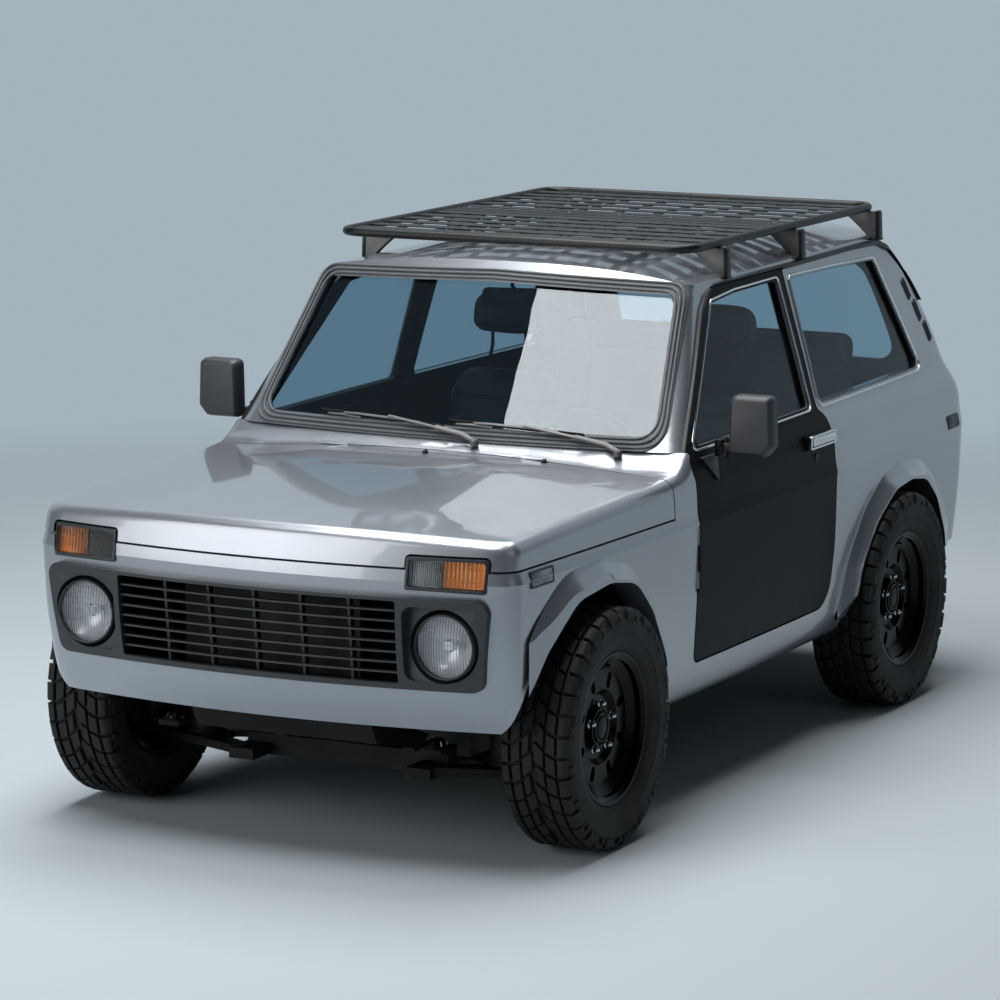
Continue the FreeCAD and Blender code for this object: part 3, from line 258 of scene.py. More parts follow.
def spun(name, profile, word, steps=48, centre=(0, 0, 0), axis="X", closed=False, angle=32):
    # turned about an axis through centre, from (along, radius) points
    verts, faces, count = [], [], len(profile)
    for i in range(steps):
        c, s = math.cos(2 * math.pi * i / steps), math.sin(2 * math.pi * i / steps)
        for a, r in profile:
            p = {"X": (a, r * s, r * c), "Y": (r * c, a, r * s), "Z": (r * s, r * c, a)}[axis]
            verts.append(Vector(p) + Vector(centre))
        j = (i + 1) % steps
        for k in range(count if closed else count - 1):
            m = (k + 1) % count
            faces.append((i * count + k, j * count + k, j * count + m, i * count + m))
    return tidied(meshPiece(name, verts, faces, word), angle)


def tube(name, points, radius, word, loop=False, sides=8):
    curve = bpy.data.curves.new(name, "CURVE")
    curve.dimensions, curve.bevel_depth, curve.bevel_resolution = "3D", radius, max(1, sides // 4)
    curve.use_fill_caps = True
    line = curve.splines.new("POLY")
    line.points.add(len(points) - 1)
    for p, at in zip(line.points, points):
        p.co = (*at, 1)
    line.use_cyclic_u = loop
    holder = placed(name, curve)
    data = bpy.data.meshes.new_from_object(evaluated(holder))
    bpy.data.objects.remove(holder)
    bpy.data.curves.remove(curve)
    data.materials.clear()
    data.materials.append(mat[word])
    for poly in data.polygons:
        poly.use_smooth = True
    return tidied(placed(name, data), 50)


def block(name, low, high, word, bevel=0.002, segments=2):
    (x0, y0, z0), (x1, y1, z1) = low, high
    verts = [(x, y, z) for z in (z0, z1) for x, y in ((x0, y0), (x1, y0), (x1, y1), (x0, y1))]
    faces = [(3, 2, 1, 0), (4, 5, 6, 7), (0, 1, 5, 4), (1, 2, 6, 5), (2, 3, 7, 6), (3, 0, 4, 7)]
    return tidied(meshPiece(name, verts, faces, word), 32, bevel, segments)


def strip(name, points, wide, thick, word):
    # flat bar through points, lying on the windscreen's slope
    up, verts, n = Vector((0, -0.618, 0.786)), [], len(points)
    for k, p in enumerate(points):
        way = (points[min(k + 1, n - 1)] - points[max(k - 1, 0)]).normalized()
        across = way.cross(up).normalized()
        rise = across.cross(way).normalized()
        verts += [p + across * wide * u + rise * thick * v
                  for u, v in ((1, 0.3), (0.6, 1), (-0.6, 1), (-1, 0.3), (-1, -0.6), (1, -0.6))]
    faces = bands(n, 6) + [tuple(range(5, -1, -1)), tuple(6 * n - 6 + i for i in range(6))]
    return tidied(meshPiece(name, verts, faces, word), 30)


# The frame's own surfaces, for finding where a trim sits

skins = {}


def struck(names, start, way, axis, miss):
    # where a ray first meets those nodes, along one axis
    if names not in skins:
        verts, faces = [], []
        for name in names:
            data, first = nodes[name].data, len(verts)
            verts += [nodes[name].matrix_world @ v.co for v in data.vertices]
            faces += [tuple(first + i for i in p.vertices) for p in data.polygons]
        skins[names] = BVHTree.FromPolygons(verts, faces)
    hit = skins[names].ray_cast(Vector(start), Vector(way))[0]
    return miss if hit is None else hit[axis]


def sideX(y, z, *names):
    return struck(names, (1.5, y, z), (-1, 0, 0), 0, 0.75)


def topZ(x, y, *names):
    return struck(names, (x, y, 2.2), (0, 0, -1), 2, 1.0)


def backY(x, z, *names):
    return struck(names, (x, 3, z), (0, -1, 0), 1, 1.75)


def onSide(*names):
    # place on the left side: a is y, b is z, depth is outwards
    return lambda a, b, d: Vector((sideX(a, b, *names) + d, a, b))


# Nodes of shaders and of Geometry Nodes

def put(tree, owner, inputs):
    # each input takes a value, or another node's output
    for key, value in inputs.items():
        if isinstance(value, bpy.types.NodeSocket):
            tree.links.new(value, owner.inputs[key])
        else:
            owner.inputs[key].default_value = value


def node(tree, kind, inputs, **settings):
    made = tree.nodes.new(kind)
    for word, value in settings.items():
        setattr(made, word, value)
    put(tree, made, inputs)
    return made


def group(kind, name, inputs, outputs):
    # an empty tree with its sockets, each (name, type) or (name, type, value)
    tree = bpy.data.node_groups.new(name, kind)
    for way, rows in (("INPUT", inputs), ("OUTPUT", outputs)):
        for word, sort, *value in rows:
            made = tree.interface.new_socket(name=word, in_out=way, socket_type="NodeSocket" + sort)
            if value:
                made.default_value = value[0]
    return tree, tree.nodes.new("NodeGroupInput").outputs, tree.nodes.new("NodeGroupOutput")


def mathNode(tree, operation, a, b=None, clamp=False):
    inputs = {0: a} if b is None else {0: a, 1: b}
    return node(tree, "ShaderNodeMath", inputs, operation=operation, use_clamp=clamp).outputs[0]


def vectorMath(tree, operation, a, b=None):
    inputs = {0: a} if b is None else {0: a, 1: b}
    return node(tree, "ShaderNodeVectorMath", inputs, operation=operation).outputs


def copyTool(name, inputs, makeCopies):
    inputs = [("Geometry", "Geometry")] + inputs + [("Finish", "Material")]
    tree, source, out = group("GeometryNodeTree", name, inputs, [("Geometry", "Geometry")])
    inputs = {"Instance": source["Geometry"], **makeCopies(tree, source)}
    copies = node(tree, "GeometryNodeInstanceOnPoints", inputs)
    real = node(tree, "GeometryNodeRealizeInstances", {0: copies.outputs[0]})
    paint = node(tree, "GeometryNodeSetMaterial", {"Geometry": real.outputs[0], "Material": source["Finish"]})
    tree.links.new(paint.outputs[0], out.inputs[0])
    return tree


def ringCopies(tree, source):
    # copies turned about the x axis
    points = node(tree, "GeometryNodePoints", {"Count": source["Count"]})
    share = mathNode(tree, "DIVIDE", tree.nodes.new("GeometryNodeInputIndex").outputs[0], source["Count"])
    angles = node(tree, "ShaderNodeCombineXYZ", {"X": mathNode(tree, "MULTIPLY", share, 2 * math.pi)})
    return {"Points": points.outputs[0], "Rotation": angles.outputs[0]}


def rowCopies(tree, source):
    # copies in even steps from where the first one stands
    line = node(tree, "GeometryNodeMeshLine", {"Count": source["Count"], "Offset": source["Step"]})
    return {"Points": line.outputs[0]}


ringTool = copyTool("ringOfCopies", [("Count", "Int")], ringCopies)
rowTool = copyTool("rowOfCopies", [("Count", "Int"), ("Step", "Vector")], rowCopies)


def copiesBy(tree, piece, name, word, **values):
    # the piece repeated by a tree, as a plain mesh; the single one goes
    twin = placed(name, piece.data)
    mod = twin.modifiers.new("copies", "NODES")
    mod.node_group = tree
    sockets = {s.name: s.identifier for s in tree.interface.items_tree if s.in_out == "INPUT"}
    for label, value in {"Finish": mat[word], **values}.items():
        mod[sockets[label]] = value
    data = bpy.data.meshes.new_from_object(evaluated(twin))
    twin.modifiers.clear()
    twin.data = data
    dropped(piece)
    return twin


# Shader groups shared by the finishes

def objectPlace(tree):
    return tree.nodes.new("ShaderNodeTexCoord").outputs


def splitPlace(tree, vector):
    return node(tree, "ShaderNodeSeparateXYZ", {0: vector}).outputs


def makeGrainGroup():
    # fine speckle for height and a slow drift for colour
    inputs = [("Scale", "Float", 400.0), ("Drift", "Float", 3.0)]
    tree, source, out = group("ShaderNodeTree", "surfaceGrain", inputs,
                              [("Height", "Float"), ("Slow", "Float")])
    place = objectPlace(tree)["Object"]
    for word, label, detail in (("Height", "Scale", 3.0), ("Slow", "Drift", 2.0)):
        noise = node(tree, "ShaderNodeTexNoise", {"Detail": detail, "Vector": place, "Scale": source[label]})
        put(tree, out, {word: noise.outputs["Fac"]})
    return tree


def makeDustGroup():
    # road film: more near the ground
    tree, source, out = group("ShaderNodeTree", "roadFilm", [("Top", "Float", 0.9), ("Amount", "Float", 0.4)],
                              [("Mask", "Float")])
    place = objectPlace(tree)["Object"]
    noise = node(tree, "ShaderNodeTexNoise", {"Scale": 9.0, "Detail": 5.0, "Vector": place}).outputs["Fac"]
    high = mathNode(tree, "DIVIDE", splitPlace(tree, place)["Z"], source["Top"])
    low = mathNode(tree, "SUBTRACT", 1.0, high, True)
    worn = mathNode(tree, "MULTIPLY", low, mathNode(tree, "MULTIPLY", noise, 1.6))
    put(tree, out, {"Mask": mathNode(tree, "MULTIPLY", worn, source["Amount"], True)})
    return tree


def makeInsideGroup():
    # 1 on faces of a shell that look towards the middle of the car
    inputs = [("Middle", "Vector", (0, 0, 0.9))]
    tree, source, out = group("ShaderNodeTree", "innerSide", inputs, [("Mask", "Float")])
    place = objectPlace(tree)
    away = vectorMath(tree, "SUBTRACT", place["Object"], source["Middle"])[0]
    unit = vectorMath(tree, "NORMALIZE", away)[0]
    facing = vectorMath(tree, "DOT_PRODUCT", unit, place["Normal"])["Value"]
    put(tree, out, {"Mask": mathNode(tree, "MULTIPLY", mathNode(tree, "ADD", facing, 0.02), -30.0, True)})
    return tree


grainGroup, dustGroup, insideGroup = makeGrainGroup(), makeDustGroup(), makeInsideGroup()


def finish(name):
    material = bpy.data.materials.new(name)
    material.use_nodes = True
    tree = material.node_tree
    return material, tree, tree.nodes["Principled BSDF"]


def shared(tree, source, **values):
    # outputs of a shared group, its inputs set
    made = node(tree, "ShaderNodeGroup", {}, node_tree=source)
    put(tree, made, {word.capitalize(): value for word, value in values.items()})
    return made.outputs


def mixed(tree, mask, low, high):
    ends = {i: (*v, 1) if isinstance(v, tuple) else v for i, v in ((6, low), (7, high))}
    return node(tree, "ShaderNodeMix", {"Factor": mask, **ends}, data_type="RGBA").outputs[2]


def ranged(tree, value, low, high, fromLow=0.3, fromHigh=0.7):
    return node(tree, "ShaderNodeMapRange", {"Value": value, "From Min": fromLow, "From Max": fromHigh,
                                             "To Min": low, "To Max": high}).outputs["Result"]


def bumped(tree, shader, height, strength, distance=0.0005):
    bump = node(tree, "ShaderNodeBump", {"Strength": strength, "Distance": distance, "Height": height})
    put(tree, shader, {"Normal": bump.outputs["Normal"]})


def darker(colour, share):
    return tuple(c * share for c in colour)


def plainFinish(name, colour, rough=0.5, spread=0.1, metal=0.0, grain=500.0, bump=0.15, drift=4.0, shade=0.82,
                dust=0.0, shine=0.5):
    # a finish with a slow change of tone, fine grain, and a little road film where asked
    material, tree, shader = finish(name)
    speckle = shared(tree, grainGroup, scale=grain, drift=drift)
    tone = mixed(tree, ranged(tree, speckle["Slow"], 0, 1), colour, darker(colour, shade))
    if dust:
        tone = mixed(tree, shared(tree, dustGroup, amount=dust)["Mask"], tone, (0.16, 0.15, 0.14))
    put(tree, shader, {"Base Color": tone, "Metallic": metal, "Specular IOR Level": shine,
                       "Roughness": ranged(tree, speckle["Slow"], rough - spread / 2, rough + spread / 2)})
    bumped(tree, shader, speckle["Height"], bump)
    return material


def paintFinish(name, colour, flake, rough, metal, coat, shine=0.5):
    # clear-coated paint outside; near-black, matte and without coat on faces that look towards the middle of the
    # car
    material, tree, shader = finish(name)
    speckle = shared(tree, grainGroup, scale=2600.0, drift=2.2)
    inside = shared(tree, insideGroup, middle=(0, 0, 0.9))["Mask"]
    film = shared(tree, dustGroup, amount=0.12, top=0.75)["Mask"]
    tone = mixed(tree, ranged(tree, speckle["Height"], 0, 1, 0.4, 0.6), colour, flake)
    tone = mixed(tree, ranged(tree, speckle["Slow"], 0, 0.35), tone, darker(colour, 0.9))
    tone = mixed(tree, film, tone, (0.2, 0.19, 0.18))
    tone = mixed(tree, inside, tone, (0.006, 0.006, 0.007))
    outer = mathNode(tree, "SUBTRACT", 1.0, inside)
    shade = ranged(tree, speckle["Height"], rough - 0.05, rough + 0.05, 0.35, 0.65)
    put(tree, shader, {
        "Base Color": tone, "Coat Roughness": 0.04,
        "Metallic": mathNode(tree, "MULTIPLY", outer, metal),
        "Coat Weight": mathNode(tree, "MULTIPLY", outer, coat),
        "Roughness": mathNode(tree, "ADD", shade, mathNode(tree, "MULTIPLY", inside, 0.4)),
        "Specular IOR Level": mathNode(tree, "SUBTRACT", shine, mathNode(
            tree, "MULTIPLY", inside, shine * 0.7))})
    bumped(tree, shader, speckle["Height"], 0.02, 0.0002)
    return material


screen = {"foot": -0.653, "rake": 0.785, "footZ": 1.039, "bow": 0.146, "behind": (-1.375, -1.365),
          "ring": [(-0.7, 1.042, 0.062), (0.7, 1.042, 0.062), (0.618, 1.5, 0.058), (0.0, 1.516, 0.0),
                   (-0.618, 1.5, 0.058)]}


def glassFinish(name, colour, rough=0.0, ripple=None, fluteShade=0.45, sideIor=0.0):
    # clear glass; side windows bend less light, and lamp glass has moulded flutes and cross lines, its colour
    # darkened along the flutes as painted shade
    material, tree, shader = finish(name)
    speckle = shared(tree, grainGroup, scale=30.0, drift=1.5)
    tone, ior = mixed(tree, ranged(tree, speckle["Slow"], 0, 1), colour, darker(colour, 0.97)), 1.45
    place = objectPlace(tree)["Object"]
    if sideIor:
        split = splitPlace(tree, place)
        lean = mathNode(tree, "MULTIPLY", split["Z"], screen["rake"])
        behind = mathNode(tree, "SUBTRACT", split["Y"], lean)
        ior = ranged(tree, behind, ior, sideIor, *screen["behind"])
    if ripple:
        scale = node(tree, "ShaderNodeMapping", {"Scale": ripple, "Vector": place})
        split = splitPlace(tree, scale.outputs[0])
        wave, step = (mathNode(tree, "ABSOLUTE", mathNode(tree, "SINE", split[axis])) for axis in ("X", "Z"))
        rise = mathNode(tree, "MULTIPLY", mathNode(tree, "POWER", step, 0.25), 0.8)
        bumped(tree, shader, mathNode(tree, "ADD", wave, rise), 0.8, 0.002)
        # painted shade: the glass colour darkens along each flute
        tone = mixed(tree, ranged(tree, wave, 0, 1, 0.15, 0.75), darker(colour, fluteShade), colour)
    put(tree, shader, {"Base Color": tone, "Roughness": rough, "Transmission Weight": 1.0, "IOR": ior})
    return material


mat.update(
    silver=paintFinish("silverPaint", (0.3, 0.325, 0.362), (0.42, 0.445, 0.485), 0.32, 0.75, 1.0),
    black=paintFinish("blackPaint", (0.0022, 0.0026, 0.003), (0.004, 0.0045, 0.005), 0.42, 0.0, 0.0, 0.08),
    # underbody and dark steel are black parts, made darker still as painted shade under the car
    underbody=plainFinish("underbodyCoat", (0.0035, 0.0035, 0.004), 0.8, grain=300, bump=0.5, dust=0.04,
                          shine=0.25),
    trim=plainFinish("powderCoat", (0.0045, 0.005, 0.0055), 0.36, 0.12, grain=1400, bump=0.25, shine=0.35),
    grey=plainFinish("greyPlastic", (0.03, 0.033, 0.037), 0.42, 0.12, grain=1800, bump=0.3),
    rubber=plainFinish("sealRubber", (0.098, 0.107, 0.117), 0.5, 0.15, grain=900, bump=0.2),
    tyre=plainFinish("tyreRubber", (0.0085, 0.0085, 0.009), 0.66, 0.12, grain=700, bump=0.45, drift=11,
                     shade=0.7, dust=0.04, shine=0.35),
    rim=plainFinish("wheelEnamel", (0.0015, 0.0015, 0.002), 0.22, 0.08, grain=1200, bump=0.1, shine=0.1),
    wiper=plainFinish("wiperEnamel", (0.15, 0.15, 0.152), 0.38, 0.12, 0.3, grain=1200, bump=0.15),
    reflector=plainFinish("whiteReflector", (0.8, 0.81, 0.82), 0.25, 0.1, 0.3, grain=300, bump=0.1),
    # black steel, darkened further as painted shade under the car
    steel=plainFinish("darkSteel", (0.006, 0.006, 0.0065), 0.55, 0.2, 0.3, bump=0.4, dust=0.05, shine=0.3),
    chrome=plainFinish("brightChrome", (0.72, 0.74, 0.76), 0.09, 0.06, 1.0, grain=200, bump=0.02, shade=0.95),
    bolt=plainFinish("boltSteel", (0.62, 0.63, 0.64), 0.2, 0.12, 1.0, grain=900, bump=0.1),
    cabin=plainFinish("cabinPlastic", (0.005, 0.005, 0.006), 0.6, 0.15, grain=900, bump=0.5, shine=0.3),
    cloth=plainFinish("seatCloth", (0.005, 0.005, 0.0055), 0.55, 0.15, grain=1600, bump=0.6, drift=8),
    glass=glassFinish("windowGlass", (0.52, 0.66, 0.74), sideIor=1.16),
    lens=glassFinish("lampGlass", (0.97, 0.98, 0.99), 0.02, (360, 1, 95), 0.6),
    clear=glassFinish("clearLens", (0.9, 0.9, 0.9), 0.04, (520, 1, 60)),
    amber=glassFinish("amberLens", (1.0, 0.5, 0.19), 0.08, (260, 1, 90), 0.9),
    red=glassFinish("redLens", (0.7, 0.02, 0.02), 0.06, (260, 1, 90)),
    mirror=plainFinish("mirrorGlass", (0.8, 0.82, 0.84), 0.02, 0.02, 1.0, grain=100, bump=0.0, shade=0.98),
    plate=plainFinish("blankPlate", (0.62, 0.63, 0.62), 0.35, grain=300, bump=0.05, dust=0.1),
    # near-black matte: painted shade in recesses, slots and shut gaps, and black rubber on wiper blades and rack
    # foot pads and beads
    gap=plainFinish("paintedShadeAndBlackRubber", (0.004, 0.004, 0.004), 0.9, 0.05))
print("finishes made:", len(mat))

slotFinish = {"body_paint": "silver", "door_paint": "black", "underbody": "underbody", "black_trim": "trim",
              "grey_plastic": "grey", "window_glass": "glass", "seal_rubber": "rubber", "lamp_lens": "lens",
              "seat_cloth": "cloth", "dark_steel": "steel", "wheel_steel": "rim", "tyre_rubber": "tyre"}


def dressFrame():
    for piece in nodes.values():
        for held in piece.material_slots:
            held.material = mat[slotFinish.get(held.material.name.split(".")[0], "trim")]


dressFrame()


# Headlamps: white bowl, bulb shield, fluted glass and a rim ring

headlamp = {
    "x": 0.573, "z": 0.657, "face": -1.728, "dome": 0.29, "edge": 0.0865, "thick": 0.0035, "proud": 0.0012,
    "rings": (0, 0.012, 0.025, 0.04, 0.055, 0.07, 0.08, 0.0865), "stem": ((0.028, 0.055), 0.009),
    "bowl": [(0.0062, 0.0875), (0.0062, 0.0855), (0.016, 0.08), (0.034, 0.064), (0.047, 0.044), (0.054, 0.022),
             (0.056, 0.0), (0.0585, 0.0), (0.0575, 0.024), (0.05, 0.046), (0.037, 0.067), (0.018, 0.084)],
    "shield": [(0.012, 0.0), (0.0125, 0.014), (0.016, 0.018), (0.03, 0.018), (0.03, 0.0165), (0.017, 0.0165),
               (0.015, 0.0)],
    "rim": [(-0.0125, 0.0865), (-0.014, 0.0885), (-0.0125, 0.0912), (-0.006, 0.0935), (0.02, 0.0938),
            (0.02, 0.0915), (0.004, 0.088), (-0.008, 0.0868)]}


def makeHeadlamps():
    h = headlamp
    face, dome, centre = h["face"], h["dome"], (h["x"], 0, h["z"])
    front = face + math.sqrt(dome ** 2 - h["edge"] ** 2) + h["proud"]

    def turned(name, key, word, steps, closed=False):
        return spun(name, [(face + a, r) for a, r in h[key]], word, steps, centre, "Y", closed)
    outer = [(front - math.sqrt(dome ** 2 - r * r), r) for r in h["rings"]]
    inner = [(a + h["thick"], r) for a, r in reversed(outer)]
    lens = spun("lampGlass_left", outer + inner, "lens", 64, centre, "Y")
    bowl = turned("lampBowl_left", "bowl", "reflector", 48)
    shield = turned("bulbShield", "shield", "chrome", 28)
    depths, radius = h["stem"]
    stem = tube("bulbStem", [(h["x"], face + d, h["z"]) for d in depths], radius, "bolt", sides=12)
    ring = turned("lampRim_left", "rim", "grey", 64, True)
    onBoth("body", "lamp_lens", lens, bowl, joined("lampBulb_left", [shield, stem]))
    onBoth("body", "grey_plastic", ring)
    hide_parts("lamps")


# Turn lamps over the shut line, tail lamps, side markers and rear side lamps

turnLamp = {
    "ring": [(0.462, 0.812, 0.008), (0.692, 0.808, 0.01), (0.694, 0.902, 0.012), (0.464, 0.902, 0.008)],
    "split": 0.566, "left": (0.4715, 0.473), "right": (0.683, 0.6845), "pane": (-0.0095, -0.0035),
    "bulb": [(-1.772, 0.0), (-1.7725, 0.006), (-1.767, 0.009), (-1.758, 0.008), (-1.752, 0.0)]}


def lampY(a, b, d):
    # the nose bows back sideways and leans, and turns away at its corner
    return Vector((a, -1.796 + 0.15 * (b - 0.806) + 0.16 * a * a + max(0.0, a - 0.672) ** 2 * 22 - d, b))


def makeTurnLamps():
    t, ring, s = turnLamp, turnLamp["ring"], turnLamp["split"]
    low, high = ring[0][1] + 0.0095, ring[2][1] - 0.0092
    (l0, l1), (r0, r1) = t["left"], t["right"]
    bezel = frameOf("turnBezel_left", ring, inset(ring, 0.0085), -0.03, 0.0015, lampY, "grey", 0.0012)
    back = slab("turnBack_left", inset(ring, 0.006), -0.03, -0.022, lampY, "reflector")
    amber = slab("turnAmber_left", [(s + 0.001, low, 0.002), (r0, low - 0.002, 0.006), (r1, high, 0.008),
                                    (s + 0.001, high, 0.002)], *t["pane"], lampY, "amber", 0.001)
    clear = slab("turnClear_left", [(l0, low + 0.001, 0.006), (s - 0.001, low, 0.002), (s - 0.001, high, 0.002),
                                    (l1, high, 0.006)], *t["pane"], lampY, "clear", 0.001)
    bar = slab("turnDivider_left", oblong(s - 0.0012, low, s + 0.0012, high), -0.018, -0.003, lampY, "grey")
    bulbs = [spun("turnBulb", t["bulb"], word, 20, (x, 0.16 * x * x + 0.012, 0.856), "Y")
             for x, word in ((0.52, "clear"), (0.622, "amber"))]
    onBoth("body", "grey_plastic", bezel, bar)
    onBoth("body", "lamp_lens", back, amber, clear, joined("turnBulbs_left", bulbs))


tailLamp = {"lip": 0.006, "inner": 0.6555, "outer": 0.694, "lean": 0.07,
            "ring": [(0.649, 0.562, 0.008), (0.7, 0.562, 0.008), (0.7145, 0.758, 0.008), (0.649, 0.758, 0.008)],
            "panes": (("Clear", 0.569, 0.618), ("Red", 0.62, 0.7), ("Amber", 0.702, 0.751))}


def makeTailLamps():
    # three stacked lenses behind a dark frame
    t, ring = tailLamp, tailLamp["ring"]

    def place(a, b, d):
        return Vector((a, backY(a, b, "side_panel_left", "tailgate") + d, b))
    inner = [(a + (t["lip"] if a < 0.66 else -t["lip"]), b + (t["lip"] if b < 0.6 else -t["lip"]), 0.005)
             for a, b, r in ring]
    surround = frameOf("tailFrame_left", ring, inner, -0.001, 0.0125, place, "grey", 0.001)
    onBoth("body", "grey_plastic", surround)
    for word, z0, z1 in t["panes"]:
        x0, x1 = (t["outer"] + (z - ring[0][1]) * t["lean"] for z in (z0, z1))
        edge = [(t["inner"], z0, 0.003), (x0, z0, 0.003), (x1, z1, 0.003), (t["inner"], z1, 0.003)]
        pane = slab("tail%s_left" % word, edge, 0.0005, 0.0105, place, word.lower(), 0.001)
        onBoth("body", "lamp_lens", pane)


marker = {"ring": (-1.598, 0.811, -1.467, 0.859, 0.006), "pane": (-1.592, 0.817, -1.473, 0.853, 0.004),
          "rear": (1.532, 0.826, 1.638, 0.872, 0.008)}


def makeSideMarkers():
    place, pane = onSide("front_fenders"), oblong(*marker["pane"])
    edge = frameOf("markerFrame_left", oblong(*marker["ring"]), pane, -0.002, 0.0045, place, "grey", 0.0008)
    lens = slab("markerLens_left", pane, -0.001, 0.0036, place, "clear", 0.0008)
    back = slab("markerBack_left", pane, -0.003, -0.0012, place, "bolt")
    rear = onSide("side_panel_left")
    rear = slab("rearSideLamp_left", oblong(*marker["rear"]), -0.002, 0.004, rear, "grey", 0.0015)
    onBoth("body", "grey_plastic", edge, rear)
    onBoth("body", "lamp_lens", lens, back)


makeHeadlamps()
makeTurnLamps()
makeTailLamps()
makeSideMarkers()
print("lamps made")


# Chrome rings and seals round the side glass: outline, node, body and how far the chrome stands out

glazing = {
    "door": ([(-0.48, 1.044, 0.022), (-0.116, 1.428, 0.03), (0.06, 1.441, 0.0), (0.392, 1.444, 0.02),
              (0.398, 1.05, 0.026)], "door_left", "door_left", 0.009),
    "quarter": ([(0.486, 1.05, 0.03), (0.494, 1.44, 0.026), (0.85, 1.435, 0.0), (1.222, 1.424, 0.03),
                 (1.402, 1.054, 0.034)], "side_panel_left", "body", 0.008)}
glassTrim = {"chrome": (0.0015, 0.0045), "rubber": (-0.004, 0.004), "sealOut": 0.001, "step": 0.06}


def makeGlassTrim():
    def ring(label, key, outline, by, word, panel):
        out, radius = glassTrim[word]
        path = fineRing(rounded(grown(outline, by), 6), onSide(panel), out, glassTrim["step"], False)
        return tube("%s_%s_left" % (label, key), path, radius, word, loop=True)
    for key, (outline, panel, body, by) in glazing.items():
        onBoth(body, "black_trim", ring("glassTrim", key, outline, by, "chrome", panel))
        onBoth(body, "seal_rubber", ring("glassSeal", key, outline, glassTrim["sealOut"], "rubber", panel))


# Door handle: chrome surround, a near-black cup painted as the shade in its recess, lifting flap and the lock
# below

handle = {"outer": (0.268, 0.936, 0.466, 0.979, 0.006), "inner": (0.275, 0.943, 0.459, 0.972, 0.004),
          "flap": [(0.284, 0.9455, 0.004), (0.457, 0.9455, 0.004), (0.457, 0.9712, 0.003),
                   (0.284, 0.9712, 0.003)],
          "lock": [(0.0, 0.0), (0.0, 0.0125), (0.0035, 0.0118), (0.0045, 0.0095), (0.0045, 0.004),
                   (0.0035, 0.0025), (0.0035, 0.0)], "lockAt": (0.34, 0.905), "x": 0.8013, "y": 0.367}


def makeHandles():
    def flat(a, b, d):
        return Vector((handle["x"] - (a - handle["y"]) ** 2 * 0.1 + d, a, b))
    outer, inner = oblong(*handle["outer"]), oblong(*handle["inner"])
    surround = frameOf("handleFrame_left", outer, inner, -0.004, 0.0085, flat, "chrome", 0.0012)
    # the cup is near-black: painted shade in the handle's recess
    cup = slab("handleCup_left", inner, -0.006, 0.0025, flat, "gap")
    flap = slab("handleFlap_left", handle["flap"], 0.003, 0.0092, flat, "chrome", 0.0015)
    lock = spun("doorLock_left", handle["lock"], "trim", 24, onSide("door_left")(*handle["lockAt"], -0.001))
    onBoth("door_left", "black_trim", surround, cup, flap, lock)


# Three slots on the rear pillar, each a pressed louvre with a fin, its slot painted near-black as the shade inside
# it

vents = {"ends": (((1.437, 1.336), (1.466, 1.273)), ((1.492, 1.26), (1.515, 1.197)),
                  ((1.54, 1.185), (1.563, 1.125))),
         "half": 0.0125, "corner": 0.006, "fin": 0.15}


def makeVents():
    side = onSide("side_panel_left")
    for i, (upper, lower) in enumerate(vents["ends"]):
        a, b = Vector(upper), Vector(lower)
        along = (b - a).normalized()
        across = Vector((-along.y, along.x)) * vents["half"]

        def outline(share, radius):
            ends = ((a, share), (b, share), (b, -share), (a, -share))
            return [(*(p + across * k), radius) for p, k in ends]
        ring = outline(1, vents["corner"])
        # the slot is near-black: painted shade inside the louvre
        slot = slab("ventSlot%d_left" % i, ring, -0.004, 0.0012, side, "gap")
        outer, inner = grown(ring, 0.002), grown(ring, -0.0025)
        rim = frameOf("ventRim%d_left" % i, outer, inner, -0.003, 0.0032, side, "trim", 0.0008)
        fin = slab("ventFin%d_left" % i, outline(vents["fin"], 0), 0.0, 0.0026, side, "trim")
        onBoth("body", "black_trim", slot, rim, fin)


# Near-black strips in the shut gaps at the hinges, behind the hood and in front of each door: painted shade over
# the hinge pins

gapShade = {"radius": 0.0029, "hoodY": -0.703, "hoodTop": 1.0135, "doorX": 0.8002, "doorY": -0.549,
           "pins": (0.62, 0.83)}


def makeGapShades():
    def hoodZ(x):
        z = topZ(x, -0.697, "cowl") - 0.0036
        return min(gapShade["hoodTop"], z) if abs(x) < 0.4 else z

    def doorX(h):
        low, high = gapShade["pins"]
        x = sideX(-0.556, h, "front_fenders", "cowl") - 0.003
        return gapShade["doorX"] if low < h < high else min(gapShade["doorX"], x)
    across = [-0.7 + 0.05 * k for k in range(29)]
    heights = [0.44 + 0.02 * k for k in range(20)]
    # both strips take the near-black shadow finish: painted shade in the gaps
    hoodSeal = tube("hoodSeal", [(x, gapShade["hoodY"], hoodZ(x)) for x in across], gapShade["radius"], "gap")
    doorPath = [(doorX(h), gapShade["doorY"], h) for h in heights]
    doorGapShade = tube("doorSeal_left", doorPath, gapShade["radius"], "gap")
    onBody("body", "seal_rubber", hoodSeal)
    onBoth("body", "seal_rubber", doorGapShade)


makeGlassTrim()
makeHandles()
makeVents()
makeGapShades()
print("side trim made")


# Windscreen: raised beads on the seal, mirror inside on a stalk from the roof, washer jets

